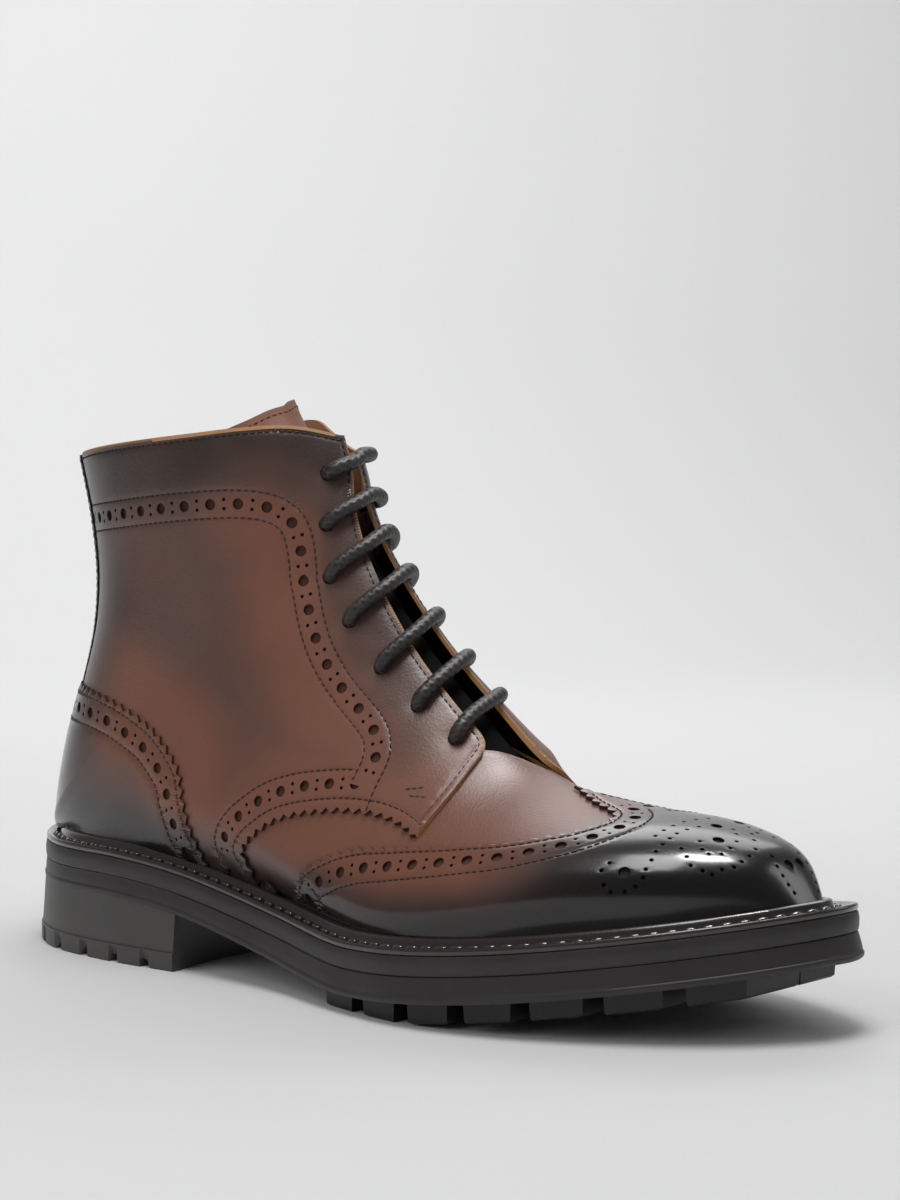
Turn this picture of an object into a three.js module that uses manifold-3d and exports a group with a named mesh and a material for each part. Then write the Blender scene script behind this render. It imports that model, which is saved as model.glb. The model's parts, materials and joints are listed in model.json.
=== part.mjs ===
// Ankle boot for the right foot: a wingtip derby with a storm welt and a lugged sole.
// Millimetres. X runs from heel to toe, Y towards the inner side of the foot, Z up.
// The boot stands empty on its sole, heel and forefoot on the plane Z = 0.

import * as THREE from 'three'
import { mergeVertices } from 'three/addons/utils/BufferGeometryUtils.js'
import Module from 'manifold-3d'

const wasm = await Module()
wasm.setup()

// Driving dimensions of the sole
const soleLength = 305
const ballWidth = 108
const heelHeight = 33.3
const ballHeight = 19
const toeSpring = 16.1
const outsoleThickness = 7.7
const midsoleThickness = 6
const waistThinning = 1.3
const edgeFlare = 1.5
const lugDepth = 4.8
const lugEdgeInset = 3
const lugRowWidth = 15
const channelWidth = 5
const channelPitch = 19
const heelLength = 92
const heelBreastHollow = 6
const topPieceThickness = 5.5
const notchWidth = 3.4
const notchHeight = 2.4
const notchDepth = 3
const sideRibHeight = 2
const sideRibStand = 0.6
const standingRise = 0.8

// Driving dimensions of the welt and the upper
const featherInset = 7.3
const toeExtraInset = 2.2
const weltThickness = 2
const weltRibHeight = 2.4
const weltRibWidth = 2.4
const weltGrooveDepth = 0.6
const weltEdgeWidth = 1.8
const insoleThickness = 3
const shaftRise = 126.7
const upperWall = 1.9
const layerThickness = 0.9
const fitGap = 0.3
const bodyGap = 0.4
const insoleGap = 0.8
const tongueThickness = 2.2
const tongueClearance = 2.2
const laceDiameter = 4.2
const laceHoleDiameter = 6
const backStripHalfWidth = 8.5

// How finely the curved forms are divided
const ringHalfSteps = 30
const stationSteps = 2
const sectionHalfSteps = 8

// Outline of the sole seen from above, from the toe back along the outer side to the heel
// and forward along the inner side; along is a share of soleLength, across of ballWidth.
const soleOutline = [
  { along: 1.000, across: 0.157 },
  { along: 0.993, across: 0.051 },
  { along: 0.961, across: -0.097 },
  { along: 0.902, across: -0.245 },
  { along: 0.820, across: -0.380 },
  { along: 0.738, across: -0.468 },
  { along: 0.656, across: -0.500 },
  { along: 0.574, across: -0.468 },
  { along: 0.459, across: -0.380 },
  { along: 0.328, across: -0.343 },
  { along: 0.197, across: -0.343 },
  { along: 0.098, across: -0.292 },
  { along: 0.033, across: -0.162 },
  { along: 0.000, across: 0.000 },
  { along: 0.033, across: 0.162 },
  { along: 0.098, across: 0.287 },
  { along: 0.180, across: 0.324 },
  { along: 0.279, across: 0.315 },
  { along: 0.377, across: 0.306 },
  { along: 0.475, across: 0.333 },
  { along: 0.574, across: 0.398 },
  { along: 0.662, across: 0.468 },
  { along: 0.754, across: 0.500 },
  { along: 0.836, across: 0.481 },
  { along: 0.905, across: 0.412 },
  { along: 0.957, across: 0.329 },
  { along: 0.990, across: 0.245 },
]
const heelPointIndex = 13

// Sections of the upper, a row for each, fanned from the toe to the heel and up the shaft.
// base: share of the feather line from toe to heel, and past 1 the share of the back's height.
// crestX: share of soleLength. crestRise: share of shaftRise above the sole there.
// outer, inner, crestY: shares of ballWidth. widest: share of the section's height where it is
// widest. roundness: exponent of the arch from there to the crest.
const sections = [
  { base: 0.00, crestX: 0.966, crestRise: 0.010, outer: 0.148, inner: 0.157, crestY: 0.156, widest: 0.40, roundness: 2.2 },
  { base: 0.05, crestX: 0.950, crestRise: 0.085, outer: 0.032, inner: 0.231, crestY: 0.153, widest: 0.40, roundness: 2.3 },
  { base: 0.10, crestX: 0.928, crestRise: 0.155, outer: -0.065, inner: 0.306, crestY: 0.144, widest: 0.38, roundness: 2.3 },
  { base: 0.17, crestX: 0.889, crestRise: 0.208, outer: -0.199, inner: 0.380, crestY: 0.130, widest: 0.34, roundness: 2.25 },
  { base: 0.26, crestX: 0.842, crestRise: 0.247, outer: -0.319, inner: 0.426, crestY: 0.111, widest: 0.30, roundness: 2.15 },
  { base: 0.36, crestX: 0.778, crestRise: 0.282, outer: -0.421, inner: 0.421, crestY: 0.093, widest: 0.26, roundness: 2. },
  { base: 0.46, crestX: 0.708, crestRise: 0.336, outer: -0.431, inner: 0.384, crestY: 0.074, widest: 0.24, roundness: 1.95 },
  { base: 0.57, crestX: 0.659, crestRise: 0.411, outer: -0.384, inner: 0.333, crestY: 0.056, widest: 0.26, roundness: 1.9 },
  { base: 0.70, crestX: 0.613, crestRise: 0.525, outer: -0.343, inner: 0.306, crestY: 0.042, widest: 0.30, roundness: 1.9 },
  { base: 0.84, crestX: 0.556, crestRise: 0.658, outer: -0.315, inner: 0.306, crestY: 0.032, widest: 0.34, roundness: 1.9 },
  { base: 0.94, crestX: 0.505, crestRise: 0.788, outer: -0.306, inner: 0.296, crestY: 0.023, widest: 0.36, roundness: 1.95 },
  { base: 1.00, crestX: 0.470, crestRise: 0.890, outer: -0.301, inner: 0.296, crestY: 0.019, widest: 0.38, roundness: 2. },
  { base: 1.25, crestX: 0.447, crestRise: 0.976, outer: -0.296, inner: 0.296, crestY: 0.009, widest: 0.42, roundness: 2.1 },
  { base: 1.50, crestX: 0.436, crestRise: 1.031, outer: -0.292, inner: 0.296, crestY: 0.005, widest: 0.46, roundness: 2.15 },
  { base: 1.75, crestX: 0.425, crestRise: 1.088, outer: -0.296, inner: 0.301, crestY: 0.000, widest: 0.50, roundness: 2.2 },
  { base: 2.00, crestX: 0.414, crestRise: 1.147, outer: -0.306, inner: 0.310, crestY: 0.000, widest: 0.50, roundness: 2.2 },
  { base: 2.20, crestX: 0.401, crestRise: 1.212, outer: -0.310, inner: 0.315, crestY: 0.000, widest: 0.50, roundness: 2.2 },
  { base: 2.40, crestX: 0.388, crestRise: 1.277, outer: -0.315, inner: 0.319, crestY: 0.000, widest: 0.50, roundness: 2.2 },
]
const heelRow = 11

// Back of the boot in side view: x as a share of soleLength, rise as a share of shaftRise
const backCurve = [
  { x: 0.024, rise: 0.002 },
  { x: 0.030, rise: 0.092 },
  { x: 0.043, rise: 0.211 },
  { x: 0.067, rise: 0.369 },
  { x: 0.087, rise: 0.526 },
  { x: 0.092, rise: 0.668 },
  { x: 0.084, rise: 0.826 },
  { x: 0.066, rise: 1.000 },
  { x: 0.043, rise: 1.200 },
  { x: 0.020, rise: 1.400 },
]

// Top line of the shaft in side view, from the back to the front
const topLine = [
  { x: -0.06, rise: 0.985 },
  { x: 0.060, rise: 1.000 },
  { x: 0.180, rise: 1.030 },
  { x: 0.300, rise: 1.058 },
  { x: 0.375, rise: 1.066 },
  { x: 0.420, rise: 1.050 },
  { x: 0.445, rise: 1.012 },
  { x: 0.520, rise: 0.860 },
]

// Rear edge of the wing cap: section row against the share of the girth from welt to crest
const wingEdge = [
  { girth: 0.00, row: 7.05 },
  { girth: 0.16, row: 7.10 },
  { girth: 0.25, row: 7.17 },
  { girth: 0.33, row: 7.10 },
  { girth: 0.39, row: 6.95 },
  { girth: 0.44, row: 6.60 },
  { girth: 0.49, row: 6.00 },
  { girth: 0.54, row: 5.45 },
  { girth: 0.60, row: 5.15 },
  { girth: 0.66, row: 4.95 },
  { girth: 0.75, row: 4.86 },
  { girth: 0.84, row: 4.96 },
  { girth: 0.92, row: 5.47 },
  { girth: 1.00, row: 6.05 },
]

// Lower and front edge of the quarters in side view
const quarterEdge = [
  { x: 0.400, rise: -0.100 },
  { x: 0.397, rise: 0.010 },
  { x: 0.390, rise: 0.048 },
  { x: 0.400, rise: 0.085 },
  { x: 0.413, rise: 0.110 },
  { x: 0.433, rise: 0.141 },
  { x: 0.459, rise: 0.164 },
  { x: 0.492, rise: 0.180 },
  { x: 0.528, rise: 0.190 },
  { x: 0.567, rise: 0.188 },
  { x: 0.597, rise: 0.173 },
  { x: 0.624, rise: 0.148 },
  { x: 0.633, rise: 0.240 },
  { x: 0.635, rise: 0.330 },
  { x: 0.630, rise: 0.400 },
]

// Upper edge of the heel counter in side view
const counterEdge = [
  { x: -0.06, rise: 0.384 },
  { x: 0.120, rise: 0.384 },
  { x: 0.197, rise: 0.384 },
  { x: 0.226, rise: 0.361 },
  { x: 0.256, rise: 0.328 },
  { x: 0.280, rise: 0.281 },
  { x: 0.300, rise: 0.226 },
  { x: 0.309, rise: 0.160 },
  { x: 0.318, rise: 0.100 },
  { x: 0.330, rise: 0.020 },
  { x: 0.334, rise: -0.100 },
]

// Half width of the throat between the facings, as a share of ballWidth, by section row
const throatGap = [
  { row: 7.30, half: 0.004 },
  { row: 7.50, half: 0.048 },
  { row: 8.00, half: 0.058 },
  { row: 9.00, half: 0.055 },
  { row: 10.0, half: 0.048 },
  { row: 11.0, half: 0.037 },
  { row: 12.0, half: 0.024 },
  { row: 13.0, half: 0.014 },
  { row: 14.0, half: 0.010 },
  { row: 16.0, half: 0.008 },
]

// Lace holes, from the lowest pair to the top pair: section row and share of the girth
const laceHoles = [
  { row: 7.69, girth: 0.845 },
  { row: 8.36, girth: 0.850 },
  { row: 9.05, girth: 0.860 },
  { row: 9.85, girth: 0.875 },
  { row: 10.73, girth: 0.890 },
  { row: 11.75, girth: 0.905 },
  { row: 13.36, girth: 0.905 },
]

// The holes of the inner facing sit this much of a row higher, so that the bars rise inwards
const innerHoleRise = 0.6

// Tongue: half width as a share of ballWidth and how far its middle leans into the shaft in
// millimetres, by section row
const tongueRows = [
  { row: 6.90, half: 0.14, lean: 0 },
  { row: 8.00, half: 0.20, lean: 0 },
  { row: 9.50, half: 0.23, lean: 0.5 },
  { row: 11.0, half: 0.25, lean: 1 },
  { row: 12.5, half: 0.26, lean: 2 },
  { row: 13.3, half: 0.26, lean: 3 },
  { row: 14.1, half: 0.25, lean: 5 },
  { row: 14.9, half: 0.21, lean: 7.5 },
  { row: 15.5, half: 0.15, lean: 9.5 },
  { row: 16.1, half: 0.05, lean: 11 },
]

const clamp01 = (t) => Math.min(1, Math.max(0, t))
const smooth = (t) => clamp01(t) ** 2 * (3 - 2 * clamp01(t))
const mix = (a, b, t) => a + (b - a) * t

// Straight interpolation in a table, from one named column to another
function lookUp(table, key, value, at) {
  let i = 1
  while (i < table.length - 1 && table[i][key] < at) i += 1
  const from = table[i - 1]
  const to = table[i]
  return mix(from[value], to[value], clamp01((at - from[key]) / (to[key] - from[key])))
}

// Height of the top of the midsole, with the heel's rise, the arch and the toe spring
const archStart = 0.18
const archEnd = 0.59
const springStart = 0.566
function soleTop(x) {
  const along = x / soleLength
  const arch = 1 - smooth((along - archStart) / (archEnd - archStart))
  const spring = clamp01((along - springStart) / (1 - springStart)) ** 1.6
  return ballHeight + (heelHeight - ballHeight) * arch + toeSpring * spring
}

// Height of the underside of the sole's side wall ahead of the heel
function soleUnderside(x) {
  const along = x / soleLength
  const thinning = waistThinning * (1 - smooth((along - 0.28) / 0.26))
  return soleTop(x) - midsoleThickness - outsoleThickness + thinning
}

// Lowest height of the lugs: flat on the ground under the ball, then following the toe spring
function lugBottom(x) {
  const underBall = 1 - smooth((x / soleLength - 0.62) / 0.2)
  return Math.max(0, soleUnderside(x) - lugDepth - standingRise * (1 + underBall))
}

// Outline of the sole as paired points, the outer side and the inner side from toe to heel
const fineSteps = 16
const outlineCurve = new THREE.CatmullRomCurve3(
  soleOutline.map((p) => new THREE.Vector3(p.along * soleLength, p.across * ballWidth, 0)),
  true,
  'centripetal',
)
const finePoints = outlineCurve.getPoints(soleOutline.length * fineSteps).slice(0, -1)
const fineCount = finePoints.length

// Inward unit normal of the outline at a fine point
function inwardNormal(i) {
  const before = finePoints[(i + fineCount - 1) % fineCount]
  const after = finePoints[(i + 1) % fineCount]
  const tangent = after.clone().sub(before).normalize()
  return new THREE.Vector3(tangent.y, -tangent.x, 0)
}

const insetDirection = finePoints.map((p, i) => inwardNormal(i))
const centroid = finePoints.reduce((sum, p) => sum.add(p), new THREE.Vector3()).divideScalar(fineCount)
const facesIn = insetDirection[0].dot(centroid.clone().sub(finePoints[0])) > 0
if (!facesIn) insetDirection.forEach((n) => n.negate())

// One side of the outline, as a list of fine points with their inward normals
function sideOf(indices) {
  const list = indices.map((i) => ({ point: finePoints[i % fineCount], inward: insetDirection[i % fineCount] }))
  let run = 0
  list.forEach((entry, k) => {
    if (k > 0) run += entry.point.distanceTo(list[k - 1].point)
    entry.run = run
  })
  return list
}

const heelFine = heelPointIndex * fineSteps
const range = (count) => Array.from({ length: count }, (unused, i) => i)
const outerSide = sideOf(range(heelFine + 1))
const innerSide = sideOf(range(fineCount - heelFine + 1).map((i) => fineCount - i))

// Point on one side of the outline at a share of its length, moved inwards by inset(x)
function outlinePoint(side, share, inset) {
  const target = share * side[side.length - 1].run
  let i = 1
  while (i < side.length - 1 && side[i].run < target) i += 1
  const t = clamp01((target - side[i - 1].run) / (side[i].run - side[i - 1].run))
  const point = side[i - 1].point.clone().lerp(side[i].point, t)
  const inward = side[i - 1].inward.clone().lerp(side[i].inward, t).normalize()
  return point.addScaledVector(inward, inset(point.x))
}

// Inset of the upper's feather line from the edge of the sole
const featherInsetAt = (x) => featherInset + toeExtraInset * smooth((x / soleLength - 0.91) / 0.08)

// A closed triangle mesh turned into a solid with its faces pointing out
function toSolid(points, triangles) {
  const geometry = new THREE.BufferGeometry()
  geometry.setAttribute('position', new THREE.Float32BufferAttribute(points.flatMap((p) => [p.x, p.y, p.z]), 3))
  geometry.setIndex(triangles.flat())
  return geometryToSolid(geometry)
}

function geometryToSolid(source) {
  const geometry = source.clone()
  geometry.deleteAttribute('normal')
  geometry.deleteAttribute('uv')
  const merged = mergeVertices(geometry, 1e-4)
  const vertProperties = new Float32Array(merged.attributes.position.array)
  const index = Array.from(merged.index.array)
  let triVerts = []
  for (let i = 0; i < index.length; i += 3) {
    const [a, b, c] = index.slice(i, i + 3)
    if (a !== b && b !== c && c !== a) triVerts.push(a, b, c)
  }
  if (signedVolume(vertProperties, triVerts) < 0) triVerts = triVerts.reverse()
  return new wasm.Manifold(new wasm.Mesh({ numProp: 3, vertProperties, triVerts: new Uint32Array(triVerts) }))
}

function signedVolume(positions, triangles) {
  const corner = (i) => new THREE.Vector3().fromArray(positions, triangles[i] * 3)
  let volume = 0
  for (let i = 0; i < triangles.length; i += 3) {
    volume += corner(i).dot(corner(i + 1).cross(corner(i + 2))) / 6
  }
  return volume
}

// Shares of a side's length at which a ring has its points, closer together at toe and heel
const ringShare = (k) => mix(k / ringHalfSteps, (1 - Math.cos((Math.PI * k) / ringHalfSteps)) / 2, 0.5)

// Points of the whole outline at one inset and height: outer side to the heel, inner side back
function outlineRing(inset, height) {
  const insetAt = typeof inset === 'function' ? inset : () => inset
  const lift = (p) => new THREE.Vector3(p.x, p.y, height(p.x))
  const outer = range(ringHalfSteps + 1).map((k) => lift(outlinePoint(outerSide, ringShare(k), insetAt)))
  const inner = range(ringHalfSteps - 1).map((k) => {
    return lift(outlinePoint(innerSide, ringShare(ringHalfSteps - 1 - k), insetAt))
  })
  return [...outer, ...inner]
}

// Quads between two rings of equal length that start at the given vertex numbers
function ringWall(first, second, count) {
  return range(count).flatMap((i) => {
    const j = (i + 1) % count
    return [[first + i, first + j, second + j], [first + i, second + j, second + i]]
  })
}

// A cap over an outline ring: strips from the outer side to the inner side
function ladderCap(start, count, flip) {
  const inner = (k) => start + ((count - k) % count)
  const half = count / 2
  const faces = range(half).flatMap((k) => [
    [start + k, inner(k), inner(k + 1)],
    [start + k, inner(k + 1), start + k + 1],
  ])
  return flip ? faces.map(([a, b, c]) => [a, c, b]) : faces
}

// A slab through several outline rings, from the lowest to the highest, closed by two caps
function slab(levels) {
  const rings = levels.map(({ inset, height }) => outlineRing(inset, height))
  const count = rings[0].length
  const walls = range(rings.length - 1).flatMap((i) => ringWall(i * count, (i + 1) * count, count))
  const top = ladderCap((rings.length - 1) * count, count, true)
  const bottom = ladderCap(0, count, false)
  return toSolid(rings.flat(), [...walls, ...top, ...bottom])
}

// A closed profile of inset and height carried right round the outline
function outlineSweep(profile) {
  const rings = profile.map(({ inset, height }) => outlineRing(inset, height))
  const count = rings[0].length
  const walls = range(rings.length).flatMap((i) => ringWall(i * count, ((i + 1) % rings.length) * count, count))
  return toSolid(rings.flat(), walls)
}

// A box given by its corners
function block(minX, maxX, minY, maxY, minZ, maxZ) {
  const box = new THREE.BoxGeometry(maxX - minX, maxY - minY, maxZ - minZ)
  box.translate((minX + maxX) / 2, (minY + maxY) / 2, (minZ + maxZ) / 2)
  return geometryToSolid(box)
}

// A side view outline of x and z carried across the whole width of the boot
function sidePrism(points, minY = -ballWidth, maxY = ballWidth) {
  const shape = new THREE.Shape(points.map(([x, z]) => new THREE.Vector2(x, z)))
  const prism = new THREE.ExtrudeGeometry(shape, { depth: maxY - minY, bevelEnabled: false })
  prism.rotateX(Math.PI / 2)
  prism.translate(0, maxY, 0)
  return geometryToSolid(prism)
}

// A plan outline of x and y between two heights
function planPrism(points, minZ, maxZ) {
  const shape = new THREE.Shape(points.map(([x, y]) => new THREE.Vector2(x, y)))
  const prism = new THREE.ExtrudeGeometry(shape, { depth: maxZ - minZ, bevelEnabled: false })
  prism.translate(0, 0, minZ)
  return geometryToSolid(prism)
}

// A smooth side view line through a table, in millimetres, at the heights of the upper
function sideLine(table, steps = 2) {
  const curve = new THREE.CatmullRomCurve3(
    table.map((p) => new THREE.Vector3(p.x * soleLength, 0, heelHeight + p.rise * shaftRise)),
    false,
    'centripetal',
  )
  return curve.getPoints((table.length - 1) * steps).map((p) => [p.x, p.z])
}

// Natural cubic spline through equally spaced values
function splineThrough(values) {
  const n = values.length
  const bend = new Array(n).fill(0)
  const weight = new Array(n).fill(0)
  const part = new Array(n).fill(0)
  for (let i = 1; i < n - 1; i += 1) {
    const scale = 4 - weight[i - 1]
    weight[i] = 1 / scale
    part[i] = (6 * (values[i + 1] - 2 * values[i] + values[i - 1]) - part[i - 1]) / scale
  }
  for (let i = n - 2; i > 0; i -= 1) bend[i] = part[i] - weight[i] * bend[i + 1]
  return (at) => {
    const i = Math.min(n - 2, Math.max(0, Math.floor(at)))
    const t = at - i
    const s = 1 - t
    const curveLow = (s ** 3 - s) * bend[i]
    const curveHigh = (t ** 3 - t) * bend[i + 1]
    return s * values[i] + t * values[i + 1] + (curveLow + curveHigh) / 6
  }
}

const column = (name) => splineThrough(sections.map((row) => row[name]))
const columns = {
  base: column('base'),
  crestX: column('crestX'),
  crestRise: column('crestRise'),
  outer: column('outer'),
  inner: column('inner'),
  crestY: column('crestY'),
  widest: column('widest'),
  roundness: column('roundness'),
}

const backLine = new THREE.CatmullRomCurve3(
  backCurve.map((p) => new THREE.Vector3(p.x * soleLength, 0, heelHeight + p.rise * shaftRise)),
  false,
  'centripetal',
)

// Point where a section leaves the feather line, or the back of the heel and shaft
function sectionFoot(side, base) {
  if (base <= 1) {
    const p = outlinePoint(side, clamp01(base), featherInsetAt)
    return new THREE.Vector3(p.x, p.y, soleTop(p.x) + fitGap)
  }
  return backLine.getPointAt(clamp01((base - 1) / backCurve[backCurve.length - 1].rise))
}

// One side of a section as a fine line from its foot up to the crest. Over the foot the wall
// leaves the sole steeply, and up the shaft both sides meet smoothly in the back seam.
const arcSteps = 40
function sectionSide(side, reach, row, crest) {
  const base = columns.base(row)
  const foot = sectionFoot(side, base)
  const steep = 1 - smooth((base - 0.8) / 0.2)
  const widest = columns.widest(row)
  const power = 2 / columns.roundness(row)
  return range(arcSteps + 1).map((k) => {
    const turn = (k / arcSteps) * Math.PI
    const low = Math.min(turn, Math.PI / 2)
    const high = Math.max(0, turn - Math.PI / 2)
    const isLow = turn <= Math.PI / 2
    const lowShare = mix(1 - Math.cos(low), low / (Math.PI / 2), steep)
    const height = isLow ? widest * lowShare : widest + (1 - widest) * Math.sin(high) ** power
    const y = isLow
      ? mix(foot.y, reach, Math.sin(low) ** (1 + 0.6 * steep))
      : mix(crest.y, reach, Math.max(0, Math.cos(high)) ** power)
    return new THREE.Vector3(mix(foot.x, crest.x, height), y, mix(foot.z, crest.z, height))
  })
}

// A line resampled to equal steps of its length
function equalSteps(line, steps) {
  const runs = [0]
  for (let i = 1; i < line.length; i += 1) runs.push(runs[i - 1] + line[i].distanceTo(line[i - 1]))
  const total = runs[runs.length - 1]
  return range(steps + 1).map((k) => {
    const target = (k / steps) * total
    let i = 1
    while (i < line.length - 1 && runs[i] < target) i += 1
    const span = runs[i] - runs[i - 1]
    return line[i - 1].clone().lerp(line[i], span > 0 ? clamp01((target - runs[i - 1]) / span) : 0)
  })
}

// The whole section at a row of the table, from the outer side over the crest to the inner side
const fineHalf = 48
function sectionLine(row) {
  const crestX = columns.crestX(row) * soleLength
  const crestZ = soleTop(crestX) + columns.crestRise(row) * shaftRise
  const crest = new THREE.Vector3(crestX, columns.crestY(row) * ballWidth, crestZ)
  const outer = equalSteps(sectionSide(outerSide, columns.outer(row) * ballWidth, row, crest), fineHalf)
  const inner = equalSteps(sectionSide(innerSide, columns.inner(row) * ballWidth, row, crest), fineHalf)
  return [...outer, ...inner.reverse().slice(1)]
}

// Fine grid of the outer surface of the boot with its outward normals
const fineRowSteps = 10
const lastRow = sections.length - 1
const surfaceGrid = range(lastRow * fineRowSteps + 1).map((i) => sectionLine(i / fineRowSteps))
const toePole = surfaceGrid[0][fineHalf].clone()
surfaceGrid[0] = surfaceGrid[0].map(() => toePole)
const fullCount = 2 * fineHalf
const surfaceNormals = surfaceGrid.map((line, i) => {
  const before = surfaceGrid[Math.max(0, i - 1)]
  const after = surfaceGrid[Math.min(surfaceGrid.length - 1, i + 1)]
  const closed = i / fineRowSteps >= heelRow
  return line.map((p, j) => {
    if (i === 0) return new THREE.Vector3(1, 0, 0)
    const left = j === 0 ? (closed ? line[fullCount - 1] : line[0]) : line[j - 1]
    const right = j === fullCount ? (closed ? line[1] : line[fullCount]) : line[j + 1]
    const across = right.clone().sub(left)
    const onward = after[j].clone().sub(before[j])
    return across.cross(onward).normalize()
  })
})

// Point on the boot's surface at a section row and a signed girth share, moved out by lift.
// Girth -1 is the outer feather line, 0 the crest and 1 the inner feather line.
function surfacePoint(row, girth, lift) {
  const r = Math.min(surfaceGrid.length - 1.001, Math.max(0, row * fineRowSteps))
  const c = Math.min(fullCount - 0.001, Math.max(0, (girth + 1) * fineHalf))
  const i = Math.floor(r)
  const j = Math.floor(c)
  const blend = (grid) => {
    const low = grid[i][j].clone().lerp(grid[i][j + 1], c - j)
    const high = grid[i + 1][j].clone().lerp(grid[i + 1][j + 1], c - j)
    return low.lerp(high, r - i)
  }
  return blend(surfaceGrid).addScaledVector(blend(surfaceNormals).normalize(), lift)
}

// The whole boot as a filled form, its surface moved out by lift and its sole edge lowered by drop
function bootForm(lift, drop) {
  const rows = lastRow * stationSteps
  const heel = heelRow * stationSteps
  const across = 2 * sectionHalfSteps
  const width = across + 3
  const points = range(rows + 1).flatMap((i) => {
    const line = range(across + 1).map((j) => {
      const girth = i >= heel && j === across ? -1 : j / sectionHalfSteps - 1
      return surfacePoint(i / stationSteps, girth, lift)
    })
    const lowered = (p) => p.clone().setZ(p.z - drop)
    return [lowered(line[0]), ...line, lowered(line[across])]
  })
  const at = (i, j) => i * width + j
  const quad = (i, j) => [
    [at(i, j), at(i, j + 1), at(i + 1, j + 1)],
    [at(i, j), at(i + 1, j + 1), at(i + 1, j)],
  ]
  const skinFaces = range(rows).flatMap((i) => range(across).flatMap((j) => quad(i, j + 1)))
  const skirt = range(heel).flatMap((i) => [...quad(i, 0), ...quad(i, across + 1)])
  const soleSide = range(heel).flatMap((i) => [
    [at(i, width - 1), at(i, 0), at(i + 1, 0)],
    [at(i, width - 1), at(i + 1, 0), at(i + 1, width - 1)],
  ])
  const lid = range(sectionHalfSteps).flatMap((j) => [
    [at(rows, j + 1), at(rows, j + 2), at(rows, across - j)],
    [at(rows, j + 1), at(rows, across - j), at(rows, across - j + 1)],
  ])
  return toSolid(points, [...skinFaces, ...skirt, ...soleSide, ...lid])
}

// Unit vector out of the boot at the crest of a section, in the side view
function crestNormal(row) {
  return surfacePoint(row, 0, 1).sub(surfacePoint(row, 0, 0)).setY(0).normalize()
}

// A thin closed skin over a net of points, from one lift to another, each point moved back by lean
function skin(net, inside, outside) {
  const rows = net.length
  const width = net[0].length
  const points = [inside, outside].flatMap((lift) => net.flat().map((p) => {
    return surfacePoint(p.row, p.girth, lift).sub(new THREE.Vector3(p.lean, 0, 0))
  }))
  const at = (layer, i, j) => layer * rows * width + i * width + j
  const sheet = (layer) => range(rows - 1).flatMap((i) => range(width - 1).flatMap((j) => [
    [at(layer, i, j), at(layer, i, j + 1), at(layer, i + 1, j + 1)],
    [at(layer, i, j), at(layer, i + 1, j + 1), at(layer, i + 1, j)],
  ]))
  const rim = [
    ...range(width - 1).map((j) => [0, j]),
    ...range(rows - 1).map((i) => [i, width - 1]),
    ...range(width - 1).map((j) => [rows - 1, width - 1 - j]),
    ...range(rows - 1).map((i) => [rows - 1 - i, 0]),
  ]
  const wall = rim.flatMap(([i, j], k) => {
    const [m, n] = rim[(k + 1) % rim.length]
    return [[at(0, i, j), at(0, m, n), at(1, m, n)], [at(0, i, j), at(1, m, n), at(1, i, j)]]
  })
  const under = sheet(0).map(([a, b, c]) => [a, c, b])
  return toSolid(points, [...under, ...sheet(1), ...wall])
}

// Section row of a lace hole on one side
const holeRow = (hole, side) => hole.row + (side > 0 ? innerHoleRise : 0)

// A round pin through the surface at a lace hole
function holePin(hole, side) {
  const row = holeRow(hole, side)
  const middle = surfacePoint(row, side * (1 - hole.girth), 0)
  const outside = surfacePoint(row, side * (1 - hole.girth), 1)
  const pin = new THREE.CylinderGeometry(laceHoleDiameter / 2, laceHoleDiameter / 2, 14, 8)
  const turn = new THREE.Quaternion().setFromUnitVectors(new THREE.Vector3(0, 1, 0), outside.sub(middle).normalize())
  pin.applyQuaternion(turn)
  pin.translate(middle.x, middle.y, middle.z)
  return geometryToSolid(pin)
}

// The channel between the facings: a ribbon on the crest, deep enough to cut every layer
function throatCutter() {
  const deep = 12
  const rows = throatGap.map(({ row, half }) => {
    const crest = surfacePoint(row, 0, 0)
    const out = crestNormal(row)
    return [[-1, -deep], [1, -deep], [1, deep], [-1, deep]].map(([side, lift]) => {
      return crest.clone().addScaledVector(out, lift).setY(side * half * ballWidth)
    })
  })
  const loops = range(rows.length - 1).flatMap((i) => ringWall(i * 4, (i + 1) * 4, 4))
  const last = (rows.length - 1) * 4
  const ends = [[0, 2, 1], [0, 3, 2], [last, last + 1, last + 2], [last, last + 2, last + 3]]
  return toSolid(rows.flat(), [...loops, ...ends])
}

// Everything above the top line of the shaft
function aboveTopLine() {
  const line = sideLine(topLine)
  const far = 2 * shaftRise
  return sidePrism([...line, [line[line.length - 1][0], far + shaftRise], [line[0][0], far + shaftRise]])
}

// Everything below the underside of the upper, which stands just clear of the midsole
function belowUpper() {
  return slab([
    { inset: -midsoleThickness, height: (x) => soleTop(x) - 3 * midsoleThickness },
    { inset: -midsoleThickness, height: (x) => soleTop(x) + fitGap },
  ])
}

// A layer of leather between two lifts of the boot's surface, trimmed at the collar and the sole
const topCutter = aboveTopLine()
const soleCutter = belowUpper()
const throat = throatCutter()
const pins = [-1, 1].flatMap((side) => laceHoles.map((hole) => holePin(hole, side)))
function leatherLayer(inside, outside) {
  const filled = bootForm(outside, midsoleThickness)
  return filled.subtract(bootForm(inside, 2 * midsoleThickness)).subtract(topCutter).subtract(soleCutter)
}

// Lifts of the layers: the outermost leather of quarters and wing cap lies at lift 0
const bodyOutside = -layerThickness - bodyGap
const bodyInside = bodyOutside - upperWall
const outerLayer = () => leatherLayer(-layerThickness, 0)
const topLayer = () => leatherLayer(fitGap, fitGap + layerThickness)

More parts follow.
